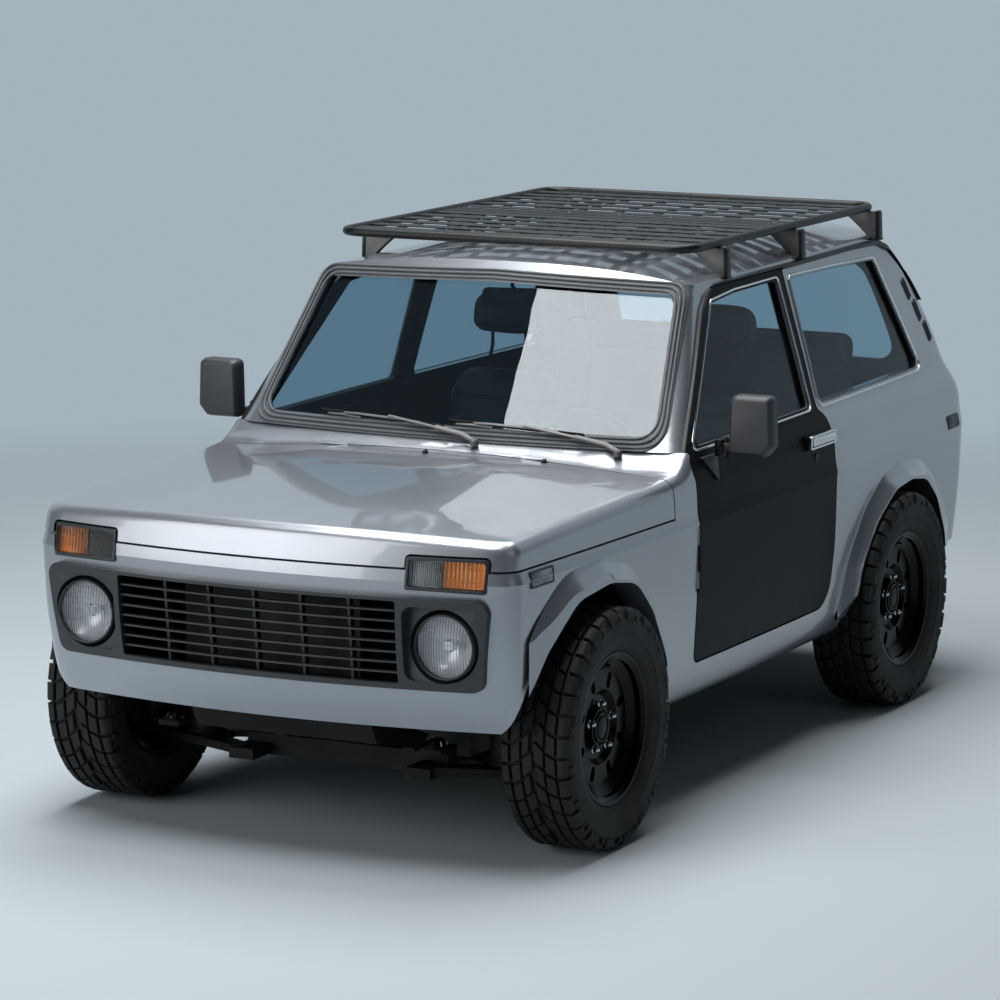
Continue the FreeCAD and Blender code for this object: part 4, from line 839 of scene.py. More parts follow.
screenTrim = {
    "beads": (("Outer", 0.006, 0.0042, 0.005), ("Middle", 0.0175, 0.0046, 0.0058),
              ("Inner", 0.029, 0.0042, 0.005)),
    "mirrorY": -0.232, "mirrorDrop": 0.012,
    "mirror": [(-0.075, 1.405, 0.018), (0.165, 1.412, 0.018), (0.165, 1.468, 0.018), (-0.075, 1.461, 0.018)],
    "pane": [(-0.07, 1.41, 0.015), (0.16, 1.417, 0.015), (0.16, 1.463, 0.015), (-0.07, 1.456, 0.015)],
    "stalk": [(0.045, -0.24, 1.44), (0.04, -0.262, 1.462), (0.035, -0.25, 1.488), (0.035, -0.235, 1.502)],
    "jets": ((-0.012, -0.735), (0.372, -0.715)),
    "jetBase": [(0.0, 0.0), (0.0, 0.01), (0.004, 0.0095), (0.009, 0.006), (0.011, 0.0)]}


def onScreen(x, z, d=0.0):
    s = screen
    lean = math.hypot(1, s["rake"])
    y = s["foot"] + s["rake"] * (z - s["footZ"]) + s["bow"] * x * x
    return Vector((x, y - d / lean, z + d * s["rake"] / lean))


def makeScreenTrim():
    t = screenTrim

    def place(a, b, d):
        return Vector((a, t["mirrorY"] + d, b - t["mirrorDrop"]))
    for word, by, radius, out in t["beads"]:
        path = fineRing(rounded(inset(screen["ring"], by), 8), onScreen, out, 0.05)
        onBody("body", "seal_rubber", tube("sealBead" + word, path, radius, "rubber", loop=True))
    onBody("body", "black_trim", slab("innerMirror", t["mirror"], -0.012, 0.012, place, "cabin", 0.006),
           slab("innerMirrorGlass", t["pane"], 0.0122, 0.0135, place, "mirror"),
           tube("innerMirrorStalk", t["stalk"], 0.006, "cabin"))
    for x, y in t["jets"]:
        z = topZ(x, y, "hood", "cowl")
        base = spun("jetBase", t["jetBase"], "trim", 20, (x, y, z - 0.001), "Z")
        low, high = (x - 0.004, y - 0.002, z + 0.004), (x + 0.004, y + 0.008, z + 0.011)
        nose = block("jetNose", low, high, "trim", 0.0012)
        onBody("hood", "black_trim", joined("washerJet_%d" % round(abs(x) * 1000), [base, nose]))


# Wipers: root, arm, bridge, two yokes and a blade on each pivot

wiper = {"x": (-0.25, 0.2), "pivot": 0.37, "pivotZ": 1.024, "yokes": (-0.105, 0.17), "bladeZ": 1.0845,
         "fall": 0.036,
         "profile": [(-0.012, 0.0), (-0.012, 0.013), (0.004, 0.013), (0.008, 0.01), (0.011, 0.0)]}


def makeWipers():
    for i, x in enumerate(wiper["x"]):
        px = x + wiper["pivot"]
        py = onScreen(px, wiper["pivotZ"]).y - 0.012
        base = Vector((px, py, topZ(px, py, "cowl", "wipers") - 0.01))
        mid, a, b = (onScreen(x + u, z, d) for u, z, d in ((0.06, 1.08, 0.02), (-0.19, 1.088, 0.012),
                                                           (0.25, 1.072, 0.012)))
        rise = Vector((0, 0, 0.012))
        elbow = base + Vector((-0.05, 0.02, 0.018))
        bars = [([base + Vector((0, 0, 0.002)), elbow, base.lerp(mid, 0.45) + rise],
                 0.0085, 0.005, "wiper"),
                ([base.lerp(mid, 0.42) + rise, mid + Vector((0, -0.002, 0.006))], 0.0045, 0.0025, "wiper"),
                ([onScreen(x - 0.105, 1.085, 0.015), onScreen(x - 0.05, 1.083, 0.021), mid,
                  onScreen(x + 0.12, 1.077, 0.021), onScreen(x + 0.17, 1.075, 0.015)], 0.0042, 0.002, "wiper")]
        for k in wiper["yokes"]:
            bars.append(([onScreen(x + k + e, wiper["bladeZ"] - wiper["fall"] * (k + 0.22 + e), d)
                          for e, d in ((-0.06, 0.0095), (0.0, 0.015), (0.06, 0.0095))],
                         0.0038, 0.0016, "wiper"))
        bars.append(([a + (b - a) * (k / 8) for k in range(9)], 0.003, 0.006, "gap"))
        parts = [spun("wiperPivot", wiper["profile"], "wiper", 24, base, "Z")]
        parts += [strip("wiperBar", points, wide, thick, word) for points, wide, thick, word in bars]
        piece = tidied(joined("wiper_%d" % i, parts), 35)
        onBody("body", "black_trim", piece)
        if i == 0:
            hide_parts("wipers")


makeScreenTrim()
makeWipers()
print("windscreen trimmed")


# Roof rack: tube, slats with folded lips, strips, screws and six plates with rubber edges

rack = {"half": 0.61, "frontY": -0.21, "rearY": 1.29, "top": 1.6, "tube": 0.014, "corner": 0.075, "slats": 13,
        "slatWide": 0.052, "wideSlat": 0.112, "wideAt": 7, "gauge": 0.0022,
        "strips": (-0.476, -0.34, -0.204, -0.068, 0.068, 0.204, 0.34, 0.476), "legs": (0.011, 0.59, 1.235),
        "screws": [-0.54 + 0.18 * k for k in range(7)],
        "screw": [(0.0, 0.0), (0.0, 0.0048), (0.0012, 0.0046), (0.0024, 0.003), (0.0028, 0.0)],
        "footEdge": [(0.632, 1.488), (0.6285, 1.5765), (0.623, 1.5825), (0.616, 1.583), (0.62, 1.488)]}


def makeRack():
    r, top = rack, rack["top"]
    x, y0, y1 = r["half"] - r["tube"], r["frontY"] + r["tube"], r["rearY"] - r["tube"]
    pitch = (y1 - y0) / (r["slats"] + 1)
    wideY = y0 + pitch * r["wideAt"]

    def slatAt(y, wide, name):
        # pressed slat: flat top, two folded lips and a shallow groove down the middle
        w, t = wide / 2, r["gauge"]
        out = [(-w, -0.0042), (-w, -0.001), (-w + 0.002, 0.0), (-w * 0.25, 0.0), (-w * 0.12, -0.0012),
               (w * 0.12, -0.0012), (w * 0.25, 0.0), (w - 0.002, 0.0), (w, -0.001), (w, -0.0042), (w - t, -0.0042),
               (w - t, -0.0026), (-w + t, -0.0026), (-w + t, -0.0042)]
        verts = [Vector((s * (x - 0.004), y + a, top + b)) for s in (-1, 1) for a, b in out]
        n = len(out)
        faces = bands(2, n) + [tuple(range(n)), tuple(range(2 * n - 1, n - 1, -1))]
        return tidied(meshPiece(name, verts, faces, "trim"), 30)
    edge = rounded(oblong(-x, y0, x, y1, r["corner"]), 10)
    ring = [Vector((a, b, top - 0.006)) for a, b in edge]
    parts = [tube("rackTube", ring, r["tube"], "trim", loop=True, sides=16)]
    slat = slatAt(y0 + pitch, r["slatWide"], "slat")
    parts.append(copiesBy(rowTool, slat, "rackSlats", "trim", Count=r["slats"], Step=(0, pitch, 0)))
    parts.append(slatAt(wideY, r["wideSlat"], "wideSlat"))
    for s in r["strips"]:
        low, high = (s - 0.013, y0, top - 0.0075), (s + 0.013, y1, top - 0.0043)
        parts.append(block("strip", low, high, "trim", 0.0008))
    for s in (-0.3, 0.3):
        parts.append(block("runner", (s - 0.01, y0, top - 0.02), (s + 0.01, y1, top - 0.008), "trim", 0.002))
    whole = joined("rackDeck", parts)
    screw = spun("screw", r["screw"], "wiper", 10, axis="Z")
    screws = joined("rackScrews", [moved(screw, Matrix.Translation((s, wideY + 0.04, top - 0.0003)), "one")
                                   for s in r["screws"]])
    dropped(screw)
    # feet: plate with a hollow inner edge, and a rubber bead round the hollow
    shares = [k / 10 for k in range(11)]
    arc = [(0.486 + 0.08 * t + 0.034 * t * t, 1.5795 - 0.032 * t - 0.0615 * t * t) for t in shares]
    ring = [(0.629, 1.487), (0.6255, 1.5795)] + arc[:-1] + [(0.6, 1.487)]
    feet, beads = [], []
    for y in r["legs"]:
        def place(a, b, d):
            return Vector((a, y + d, b))
        feet.append(slab("foot", ring, 0.003, 0.031, place, "wiper", 0.0015))
        feet.append(slab("footEdge", r["footEdge"], 0.0, 0.034, place, "trim", 0.003))
        feet.append(block("footPad", (0.597, y - 0.004, 1.4855), (0.632, y + 0.038, 1.4905), "gap", 0.0015))
        beads.append(tube("bead", [Vector((a + 0.001, y + 0.017, b - 0.001)) for a, b in arc + [(0.6, 1.487)]],
                          0.0035, "gap"))
    onBody("body", "black_trim", whole, screws)
    onBoth("body", "black_trim", joined("rackFeet_left", feet + beads))
    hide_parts("roof_rack")


makeRack()
print("rack made")


# Door mirrors: rounded housing, glass, arm with a boot and its foot

mirror = {
    "ring": [(0.834, 1.02, 0.012), (0.946, 1.02, 0.014), (0.974, 1.052, 0.014), (0.969, 1.201, 0.02),
             (0.838, 1.201, 0.022)],
    "levels": ((-0.384, 0.955), (-0.386, 1.0), (-0.412, 1.0), (-0.428, 0.95), (-0.435, 0.86)),
    "middle": (0.905, 1.11),
    "foot": [(-0.466, 1.014, 0.004), (-0.405, 0.94, 0.004), (-0.356, 1.014, 0.004)],
    "pin": [(1.006, 0.0), (1.006, 0.009), (1.066, 0.009), (1.069, 0.006), (1.069, 0.0)]}


def makeMirrors():
    out, (mx, mz) = rounded(mirror["ring"], 6), mirror["middle"]
    n, levels = len(out), mirror["levels"]
    verts = [Vector((mx + (a - mx) * k, y, mz + (b - mz) * k)) for y, k in levels for a, b in out]
    faces = bands(len(levels), n) + [tuple(range(n - 1, -1, -1)), tuple(4 * n + i for i in range(n))]
    shell = tidied(meshPiece("mirrorShell_left", verts, faces, "grey"), 38, 0.003, 3)

    def place(a, b, d):
        return Vector((a, d, b))
    rim, pane = (rounded(inset(mirror["ring"], by), 6) for by in (0.008, 0.009))
    rim = frameOf("mirrorRim_left", out, rim, -0.386, -0.3785, place, "grey", 0.0015)
    pane = slab("mirrorPane_left", pane, -0.384, -0.3815, place, "mirror")
    foot = slab("mirrorFoot_left", mirror["foot"], -0.001, 0.009, onSide("door_left"), "grey", 0.002)
    arm = joined("mirrorArm_left", [
        block("arm", (0.783, -0.388, 1.024), (0.842, -0.353, 1.05), "grey", 0.004),
        block("boot", (0.776, -0.4, 1.01), (0.8, -0.342, 1.062), "trim", 0.005),
        spun("pin", mirror["pin"], "trim", 16, (0.812, -0.371, 0), "Z")])
    onBoth("door_left", "black_trim", shell, rim, pane, foot, arm)
    for word in ("left", "right"):
        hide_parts("door_mirror_" + word)


makeMirrors()
print("mirrors made")


# Tailgate: rubber round the glass, blank plate under two lamps, grip and lock

tailgate = {"glass": tapered(0.52, 1.03, 0.055, 0.47, 1.39, 0.05), "plate": (-0.26, 0.64, 0.26, 0.752, 0.008),
            "lamps": [(s - 0.035, 0.772, s + 0.035, 0.794, 0.004) for s in (-0.13, 0.13)],
            "grip": (-0.08, 0.905, 0.08, 0.948, 0.01), "flap": (-0.066, 0.912, 0.066, 0.938, 0.006),
            "lock": [(0.0, 0.0), (0.0, 0.01), (0.004, 0.0095), (0.005, 0.006), (0.005, 0.0)]}


def makeTailgateTrim():
    t, plate = tailgate, oblong(*tailgate["plate"])

    def place(a, b, d):
        return Vector((a, backY(a, b, "tailgate") + d, b))
    path = fineRing(rounded(grown(t["glass"], 0.011), 8), place, 0.0005, 0.05)
    onBody("tailgate", "seal_rubber", tube("rearGlassSeal", path, 0.0095, "rubber", loop=True, sides=10))
    back = slab("plateHolder", grown(plate, 0.006), -0.001, 0.006, place, "trim", 0.0012)
    plate = slab("blankPlate", plate, 0.005, 0.007, place, "plate", 0.0006)
    lamps = joined("plateLamps", [slab("plateLamp", oblong(*row), -0.001, 0.0026, place, "grey", 0.001)
                                  for row in t["lamps"]])
    lock = spun("gripLock", t["lock"], "bolt", 20, axis="Y")
    lock = moved(lock, Matrix.Translation(place(0.0, 0.89, -0.001)))
    plateOf = slab("gripPlate", oblong(*t["grip"]), -0.001, 0.005, place, "trim", 0.0015)
    flap = slab("gripFlap", oblong(*t["flap"]), 0.004, 0.011, place, "trim", 0.002)
    grip = joined("tailgateGrip", [plateOf, flap, lock])
    onBody("tailgate", "black_trim", back, grip)
    onBody("tailgate", "grey_plastic", plate, lamps)


makeTailgateTrim()
print("tailgate trimmed")


# Seats: pads swollen by a cloth pass, seams pressed in, headrests on posts

seat = {"x": 0.372, "cap": 0.015, "pressure": 4.0, "frames": 20, "quality": 5, "fill": 0.6, "bevel": 0.022}


def upright(s, low, high):
    return [(s, low), (s, high)]


def level(half, b):
    return [(-half, b), (half, b)]


# each pad: start and slope of its plane, depths, where its front looks, outline, seams, voxel, place across
pads = {
    "seatBack": {
        "start": (0.32, 0.58), "up": (0.301, 0.954), "depth": (0.02, 0.078), "facing": (0, -0.954, 0.301),
        "ring": [(-0.205, 0.035, 0.04), (0.205, 0.035, 0.04), (0.205, 0.47, 0.07), (0.155, 0.56, 0.07),
                 (-0.155, 0.56, 0.07), (-0.205, 0.47, 0.07)],
        "seams": [upright(-0.15, 0.03, 0.53), upright(0.15, 0.03, 0.53),
                  [(-0.15, 0.33), (-0.06, 0.3), (0.06, 0.3), (0.15, 0.33)], level(0.205, 0.44)],
        "voxel": 0.012, "x": seat["x"]},
    "seatCushion": {
        "start": (-0.15, 0.62), "up": (0.9964, -0.0848), "depth": (0.018, 0.095), "facing": (0, 0.085, 0.996),
        "ring": tapered(0.205, 0.025, 0.05, 0.21, 0.44, 0.03),
        "seams": [upright(-0.15, 0.02, 0.44), upright(0.15, 0.02, 0.44), level(0.15, 0.15), level(0.15, 0.3)],
        "voxel": 0.012, "x": seat["x"]},
    "headrest": {
        "start": (0.478, 1.19), "up": (0.06, 0.998), "depth": (0.016, 0.094), "facing": (0, -1, 0),
        "ring": tapered(0.124, 0.018, 0.045, 0.118, 0.146, 0.06), "seams": [level(0.13, 0.03)],
        "voxel": 0.007, "x": seat["x"]},
    "benchBack": {
        "start": (1.12, 0.666), "up": (0.164, 0.986), "depth": (0.016, 0.064), "facing": (0, -0.986, 0.164),
        "ring": tapered(0.535, 0.035, 0.04, 0.535, 0.525, 0.06),
        "seams": [upright(s, 0.03, 0.52) for s in (-0.4, -0.13, 0.0, 0.13, 0.4)] + [level(0.53, 0.42)],
        "voxel": 0.016, "x": 0.0},
    "benchCushion": {
        "start": (0.79, 0.696), "up": (0.9959, -0.0905), "depth": (0.018, 0.13), "facing": (0, 0.09, 0.996),
        "ring": tapered(0.535, 0.025, 0.05, 0.535, 0.315, 0.03),
        "seams": [upright(s, 0.03, 0.31) for s in (-0.4, -0.13, 0.0, 0.13, 0.4)], "voxel": 0.016, "x": 0.0}}


def onPad(pad, x=0.0):
    # a place from across, up the slope and back into the pad
    (y0, z0), (uy, uz) = pad["start"], pad["up"]
    return lambda a, b, d: Vector((a, y0 + uy * b + uz * d, z0 + uz * b - uy * d)) + Vector((x, 0, 0))


def swollen(piece, voxel):
    # cloth under pressure, its travel capped, then one subdivision
    shape = piece.modifiers.new("grid", "REMESH")
    shape.mode, shape.voxel_size = "VOXEL", voxel
    piece = plainMesh(piece)
    cloth = piece.modifiers.new("cloth", "CLOTH")
    s = cloth.settings
    s.use_pressure, s.uniform_pressure_force, s.quality = True, seat["pressure"], seat["quality"]
    s.effector_weights.gravity = 0
    cloth.point_cache.frame_start, cloth.point_cache.frame_end = 1, seat["frames"]
    for frameNumber in range(1, seat["frames"] + 1):
        scene.frame_set(frameNumber)
    places = [v.co.copy() for v in evaluated(piece).to_mesh().vertices]
    piece.modifiers.remove(cloth)
    for v, p in zip(piece.data.vertices, places):
        move = p - v.co
        v.co += move * min(1.0, seat["cap"] / max(move.length, 1e-9))
    scene.frame_set(1)
    fine = piece.modifiers.new("fine", "SUBSURF")
    fine.levels = fine.render_levels = 1
    return plainMesh(piece)


def stitched(piece, lines, facing, wide=0.0045, deep=0.0045):
    # sewn seams: points near a line sink along their normal
    facing = Vector(facing).normalized()

    def flat(p):
        return p - facing * p.dot(facing)
    for v in piece.data.vertices:
        if v.normal.dot(facing) < 0.25:
            continue
        near = 1.0
        for line in lines:
            for a, b in zip(line, line[1:]):
                p, q = flat(v.co), flat(a)
                run = flat(b) - q
                t = max(0.0, min(1.0, (p - q).dot(run) / run.length_squared))
                near = min(near, (p - q - run * t).length)
        if near < wide * 3:
            v.co -= v.normal * deep * math.exp(-(near / wide) ** 2)
    return piece


def makePads():
    made = []
    for name, pad in pads.items():
        at, (low, high) = onPad(pad, pad["x"]), pad["depth"]
        piece = swollen(slab(name, pad["ring"], low, high, at, "cloth", seat["bevel"]), pad["voxel"])
        stitched(piece, [[at(a, b, low) for a, b in line] for line in pad["seams"]], pad["facing"])
        both = [piece]
        if pad["x"]:
            piece.name = name + "_left"
            both.append(moved(piece, flipped, name + "_right"))
        for piece in both:
            onBody("body", "seat_cloth", piece)
        made += both
    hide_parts("seats")


def makeSeatFrames():
    x, low, parts = seat["x"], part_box("seats")[0][2], []
    for s in (-1, 1):
        post, rail, side = x + s * 0.06, x + s * 0.175, x + s * 0.185
        path = [(post, 0.5, 1.085), (post, 0.534, 1.16), (post, 0.537, 1.245)]
        parts += [tube("post", path, 0.006, "steel", sides=10),
                  block("rail", (rail - 0.018, -0.12, low + 0.002), (rail + 0.018, 0.4, low + 0.036), "steel",
                        0.003),
                  block("side", (side - 0.012, -0.08, low + 0.03), (side + 0.012, 0.42, 0.52), "steel", 0.004)]
    parts += [block("pan", (x - 0.19, -0.11, 0.495), (x + 0.19, 0.4, 0.52), "steel", 0.006),
              spun("recliner", [(0.0, 0.0), (0.0, 0.034), (0.01, 0.034), (0.014, 0.028), (0.014, 0.0)], "cabin",
                   24, (x + 0.205, 0.385, 0.6))]
    onBoth("body", "dark_steel", joined("seatFrame_left", parts))
    base = block("benchBase", (-0.52, 0.83, low + 0.2), (0.52, 1.18, 0.575), "steel", 0.01)
    shell = slab("benchShell", tapered(0.53, 0.02, 0.03, 0.53, 0.52, 0.05), 0.066, 0.074,
                 onPad(pads["benchBack"]), "cabin", 0.003)
    onBody("body", "dark_steel", joined("benchFrame", [base, shell]))


# Door cards: inner lining that follows each door's inner wall, with an armrest, a pull and a winder

card = {"ys": [-0.48 + 0.0425 * k for k in range(20)], "zs": [0.455 + 0.034 * k for k in range(17)],
        "depths": (0.0015, 0.008)}


def makeDoorCards():
    def wall(y, z):
        return struck(("door_left",), (0.4, y, z), (1, 0, 0), 0, 0.75)
    ys, zs = card["ys"], card["zs"]
    verts = [Vector((wall(y, z) - d, y, z)) for d in card["depths"] for z in zs for y in ys]
    wide, tall = len(ys), len(zs)
    n = wide * tall
    faces = bands(tall, wide, False)
    faces += [tuple(n + v for v in reversed(f)) for f in faces]
    rim = list(range(wide)) + [k * wide + wide - 1 for k in range(1, tall)]
    rim += [(tall - 1) * wide + i for i in range(wide - 2, -1, -1)] + [k * wide for k in range(tall - 2, 0, -1)]
    faces += [(b, a, n + a, n + b) for a, b in zip(rim, rim[1:] + rim[:1])]
    lining = tidied(meshPiece("card", verts, faces, "cabin"), 40)
    x = wall(0.0, 0.75) - card["depths"][1]
    rest = block("armrest", (x - 0.05, -0.18, 0.735), (x + 0.003, 0.23, 0.775), "cabin", 0.012, 3)
    pull = tube("pull", [(x, -0.17, 0.8), (x - 0.035, -0.14, 0.812), (x - 0.035, -0.02, 0.812), (x, 0.01, 0.8)],
                0.009, "cabin", sides=10)
    winder = spun("winder", [(x + 0.004, 0.0), (x + 0.004, 0.022), (x - 0.01, 0.02), (x - 0.012, 0.0)],
                  "cabin", 24, (0, -0.23, 0.64))
    onBoth("door_left", "black_trim", joined("doorCard_left", [lining, rest, pull, winder]))


makePads()
makeSeatFrames()
makeDoorCards()
print("cabin dressed")


# Below the nose: bright bump stops over dark pads

bumpStop = {"at": (0.425, -1.5, 0), "low": (0.39, -1.54, 0.3), "high": (0.46, -1.46, 0.318),
            "dome": [(0.318, 0.0), (0.318, 0.03), (0.324, 0.032), (0.336, 0.026), (0.343, 0.014), (0.346, 0.0)]}


def makeBumpStops():
    dome = spun("dome", bumpStop["dome"], "chrome", 32, bumpStop["at"], "Z")
    pad = block("pad", bumpStop["low"], bumpStop["high"], "underbody", 0.004)
    onBoth("body", "dark_steel", joined("bumpStop_left", [dome, pad]))


makeBumpStops()
print("bump stops made")


# Tyres: carcass, tread blocks in rings, ribs round the shoulder

tyre = {
    "half": 0.108, "radius": 0.348, "rows": 36, "gap": 0.0105, "sweep": 0.048, "track": 0.742, "frontY": -1.19,
    "rearY": 1.01, "steps": 112, "edge": 0.0016, "rise": 0.0014,
    "carcass": [(0.0, 0.335), (0.06, 0.3345), (0.08, 0.332), (0.0935, 0.327), (0.102, 0.318), (0.1042, 0.3095),
                (0.1072, 0.307), (0.1076, 0.2985), (0.1064, 0.2965), (0.1068, 0.283), (0.105, 0.266),
                (0.105, 0.2645), (0.1036, 0.264), (0.1, 0.246), (0.0925, 0.2305), (0.09, 0.2285),
                (0.0865, 0.2225), (0.08, 0.2205), (0.0735, 0.204)],
    "rib": ((0.1, 0.33, 0.66), (0.1076, 0.3235, 0.56), (0.1079, 0.3075, 0.5), (0.104, 0.3045, 0.62))}


def treadRadius(a):
    # outer radius of the tread at a distance across from the middle
    a = abs(a) / tyre["half"]
    return tyre["radius"] - 0.0015 * a * a - 0.019 * max(0, (a - 0.8) / 0.2) ** 2.2


def treadBlock(a0, a1, stagger, deep=0.0135, stations=3):
    # one rubber block between two distances across, on the curve of its row
    t, pitch = tyre, 2 * math.pi / tyre["rows"]
    cut, outwards = t["gap"] / 2 / t["radius"], 1 if a1 > a0 else -1
    verts = []
    for sunk, pull in ((deep, 0.0), (t["rise"], 0.0), (0.0, t["edge"])):
        for k in range(stations):
            a = a0 + (a1 - a0) * k / (stations - 1)
            across = a + (pull if k == 0 else -pull if k == stations - 1 else 0) * outwards
            r = treadRadius(across) - sunk
            row = t["sweep"] / t["radius"] * math.sin(min(abs(a) / 0.088, 1.25) * math.pi / 2)
            row += stagger * pitch
            for end in (cut + pull / r, pitch - cut - pull / r):
                verts.append((across, -r * math.sin(row + end), r * math.cos(row + end)))
    n = 2 * stations
    loop = [2 * k for k in range(stations)] + [2 * k + 1 for k in reversed(range(stations))]
    faces = [(k * n + p, k * n + q, (k + 1) * n + q, (k + 1) * n + p)
             for k in range(2) for p, q in zip(loop, loop[1:] + loop[:1])]
    faces += [tuple(2 * n + 2 * k + i for i in (0, 2, 3, 1)) for k in range(stations - 1)]
    return meshPiece("treadBlock", verts, faces, "tyre", False)


def makeTread():
    # two rows at a time, because every second shoulder block is shorter
    blocks = []
    for side in (-1, 1):
        for row in (0, 1):
            shift = row + (0.5 if side > 0 else 0.0)
            inner = 0.003 if (row + (side > 0)) % 2 else 0.0125
            outer = 0.1072 if row else 0.1
            blocks += [treadBlock(side * inner, side * 0.032, shift),
                       treadBlock(side * 0.04, side * 0.067, shift + 0.08),
                       treadBlock(side * 0.0755, side * outer, shift + 0.02, 0.016, 5)]
    pair = tidied(joined("treadPair", blocks), 28)
    return copiesBy(ringTool, pair, "treadRing", "tyre", Count=tyre["rows"] // 2)


def makeCarcass():
    half, turn = tyre["carcass"], math.pi / 62
    profile = half + [(-a, r) for a, r in half[:0:-1]]
    body = spun("carcass", profile, "tyre", tyre["steps"], closed=True, angle=24)
    # small ribs round the shoulder, between the lugs and the sidewall
    faces = [(0, 1, 3, 2), (2, 3, 5, 4), (4, 5, 7, 6), (0, 2, 4, 6), (1, 7, 5, 3), (0, 6, 7, 1)]
    ribs = []
    for side in (-1, 1):
        verts = [(side * a, -r * math.sin(s * turn * w), r * math.cos(s * turn * w))
                 for a, r, w in tyre["rib"] for s in (-1, 1)]
        ribs.append(meshPiece("rib", verts, faces, "tyre", False))
    ribs = tidied(joined("ribPair", ribs), 30)
    return joined("carcassRibbed", [body, copiesBy(ringTool, ribs, "ribRing", "tyre", Count=tyre["rows"])])


def onWheels(slotName, parts):
    # copies of each part at the four wheels, mirrored on the right; the first ones go
    for end in ("front", "rear"):
        for word, side in (("left", 1), ("right", -1)):
            at = Matrix.Translation((side * tyre["track"], tyre[end + "Y"], tyre["radius"]))
            for label, part in parts.items():
                piece = moved(part, at if side > 0 else at @ flipped, "%s_%s_%s" % (label, end, word))
                onBody("wheel_%s_%s" % (end, word), slotName, piece)
    dropped(*parts.values())


onWheels("tyre_rubber", {"mudTyre": joined("tyreWhole", [makeTread(), makeCarcass()])})
for corner in ("front_left", "front_right", "rear_left", "rear_right"):
    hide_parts("tyre_" + corner)
print("tyres made")


# Wheels: the frame's rims stay; domed nuts on washers, hub cover, collar and valve are added

wheel = {
    "nut": 0.04, "boltCircle": 0.06985, "bolts": 5, "hex": 0.0094, "hubGap": 0.0015,
    "washer": [(-0.001, 0.0), (-0.001, 0.0118), (0.0015, 0.0118), (0.0032, 0.0095), (0.0032, 0.0)],
    "dome": [(0.0132, 0.0), (0.0132, 0.0076), (0.0165, 0.0068), (0.0192, 0.0045), (0.0203, 0.0)],
    "cover": [(0.0, 0.0), (0.0, 0.0445), (0.0055, 0.0445), (0.0075, 0.0425), (0.0075, 0.0385), (0.0045, 0.0375),
              (0.0045, 0.034), (0.0085, 0.031), (0.0105, 0.022), (0.0105, 0.0)],
    "collar": [(0.0395, 0.0495), (0.0395, 0.0575), (0.0435, 0.0575), (0.0455, 0.0555), (0.0455, 0.0515),
               (0.0435, 0.0495)],
    "valve": [(0.05, 0.0, 0.186), (0.062, 0.0, 0.181), (0.076, 0.0, 0.178)]}


def makeWheelTrim():
    w, x = wheel, wheel["nut"]

    def turned(name, key, start, word, steps, closed=False):
        return spun(name, [(start + a, r) for a, r in w[key]], word, steps, closed=closed)
    hexRing = [(w["hex"] * math.cos(k * math.pi / 3), w["hex"] * math.sin(k * math.pi / 3)) for k in range(6)]
    head = slab("nutHead", hexRing, x + 0.003, x + 0.0135, lambda a, b, d: Vector((d, a, b)), "bolt", 0.0009)
    washer, dome = (turned(key, key, x, "bolt", 20) for key in ("washer", "dome"))
    nut = joined("wheelNut", [washer, head, dome])
    nut = moved(nut, Matrix.Translation((0, 0, w["boltCircle"])))
    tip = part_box("knuckle_left")[1][0] - tyre["track"] + w["hubGap"]
    onWheels("wheel_steel", {
        "wheelNuts": copiesBy(ringTool, nut, "nutRing", "bolt", Count=w["bolts"]),
        "hubCover": turned("cover", "cover", tip, "rim", 40),
        "hubCollar": turned("collar", "collar", 0.0, "rim", 48, True),
        "tyreValve": tube("valve", w["valve"], 0.0042, "trim")})


makeWheelTrim()
print("wheels trimmed")


# Stage: pale floor that runs up into a backdrop, and soft lamps

# near and far: tones of the glowing backdrop, brighter near the camera as painted light
stage = {"floor": (0.44, 0.5, 0.535), "near": (0.53, 0.6, 0.645), "far": (0.375, 0.45, 0.502),
         "fade": (3.4, 7.0),
         "depth": (-6.0, 4.0), "ambient": 0.07, "start": -60, "bend": 24, "radius": 7, "height": 40, "half": 60}


def seenDirectly(tree, *kinds):
    # 1 for rays that show the background
    path = tree.nodes.new("ShaderNodeLightPath").outputs
    seen = path["Is Camera Ray"]
    for kind in kinds:
        seen = mathNode(tree, "MAXIMUM", seen, path[kind])
    return seen


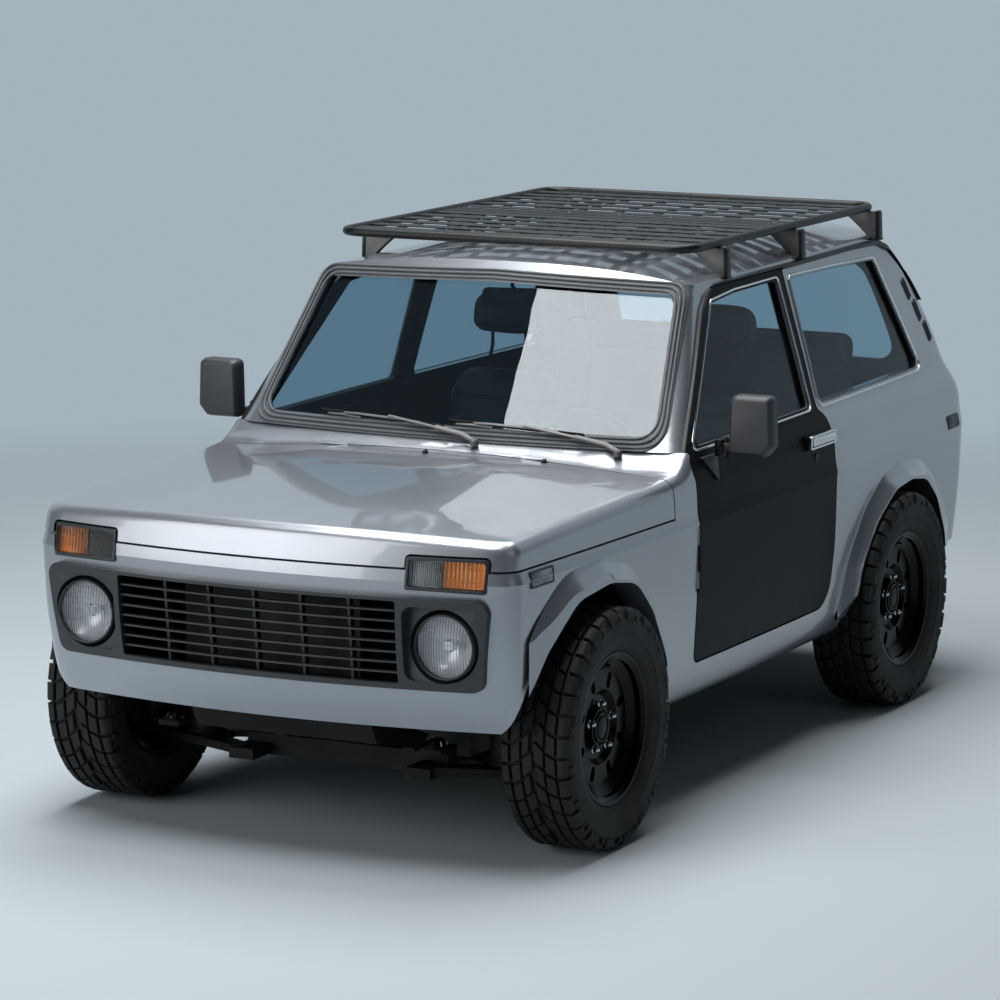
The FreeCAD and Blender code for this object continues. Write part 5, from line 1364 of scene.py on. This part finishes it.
def makeStage():
    material, tree, shader = finish("paleFloor")
    mat["floor"] = material
    slow = shared(tree, grainGroup, scale=60.0, drift=0.35)["Slow"]
    tone = mixed(tree, ranged(tree, slow, 0, 1), stage["floor"], darker(stage["floor"], 0.97))
    put(tree, shader, {"Base Color": tone, "Roughness": 0.75})
    az = math.radians(camera["azimuth"])
    back, side = Vector((-math.sin(az), math.cos(az), 0)), Vector((math.cos(az), math.sin(az), 0))
    # away from the car the floor and wall glow in a backdrop tone for camera, glossy and transmission rays,
    # brighter towards the camera as painted light
    place = objectPlace(tree)["Object"]
    away = vectorMath(tree, "LENGTH", place)["Value"]
    depth = vectorMath(tree, "DOT_PRODUCT", place, back)["Value"]
    tone = mixed(tree, ranged(tree, depth, 0, 1, *stage["depth"]), stage["near"], stage["far"])
    glow = node(tree, "ShaderNodeEmission", {"Color": tone})
    fade = mathNode(tree, "MULTIPLY", ranged(tree, away, 0, 1, *stage["fade"]),
                    seenDirectly(tree, "Is Glossy Ray", "Is Transmission Ray"))
    blend = node(tree, "ShaderNodeMixShader", {0: fade, 1: shader.outputs[0], 2: glow.outputs[0]})
    put(tree, tree.nodes["Material Output"], {"Surface": blend.outputs[0]})
    # floor, a wide bend and a wall behind the car, seen from the camera's side
    bend, r, half = stage["bend"], stage["radius"], stage["half"]
    path = [(stage["start"], 0), (bend, 0)]
    path += [(bend + r * math.sin(0.26 * k), r - r * math.cos(0.26 * k)) for k in range(1, 6)]
    path += [(bend + r, r), (bend + r, stage["height"])]
    verts = [back * d + side * s + Vector((0, 0, h)) for s in (-half, half) for d, h in path]
    n = len(path)
    meshPiece("floor", verts, [(i, n + i, n + i + 1, i + 1) for i in range(n - 1)], "floor")
    world = bpy.data.worlds.new("softLight")
    world.use_nodes = True
    tree = world.node_tree
    strength = ranged(tree, seenDirectly(tree, "Is Transmission Ray"), stage["ambient"], 1.0, 0.0, 1.0)
    put(tree, tree.nodes["Background"], {0: (*stage["far"], 1), 1: strength})
    scene.world = world


# rectangular softboxes: place, target, width, depth, how bright each looks, and its turn
lamps = {"screenLamp": ((-0.43, -2.85, 6.2), (-0.43, -2.85, 0), 3.3, 2.8, 9.0, -10),
         "noseLamp": ((-3.7, -7.75, 3.3), (0, -1.6, 0.9), 5.0, 5.6, 3.0, 0),
         "topLamp": ((-0.6, 1.6, 7.0), (-0.2, 0.4, 0.0), 5.0, 5.0, 6.0, 0),
         "fillLamp": ((7.0, -3.0, 4.5), (0, 0, 0.8), 4.0, 4.0, 0.35, 0)}


def makeLamps():
    for name, (place, target, width, depth, radiance, turn) in lamps.items():
        data = bpy.data.lights.new(name, "AREA")
        data.shape, data.size, data.size_y = "RECTANGLE", width, depth
        data.energy = radiance * math.pi * width * depth
        holder = placed(name, data)
        holder.location = place
        holder.rotation_euler = (Vector(target) - Vector(place)).to_track_quat("-Z", "Y").to_euler()
        holder.rotation_euler.rotate_axis("Z", math.radians(turn))


makeStage()
makeLamps()
print("stage set")
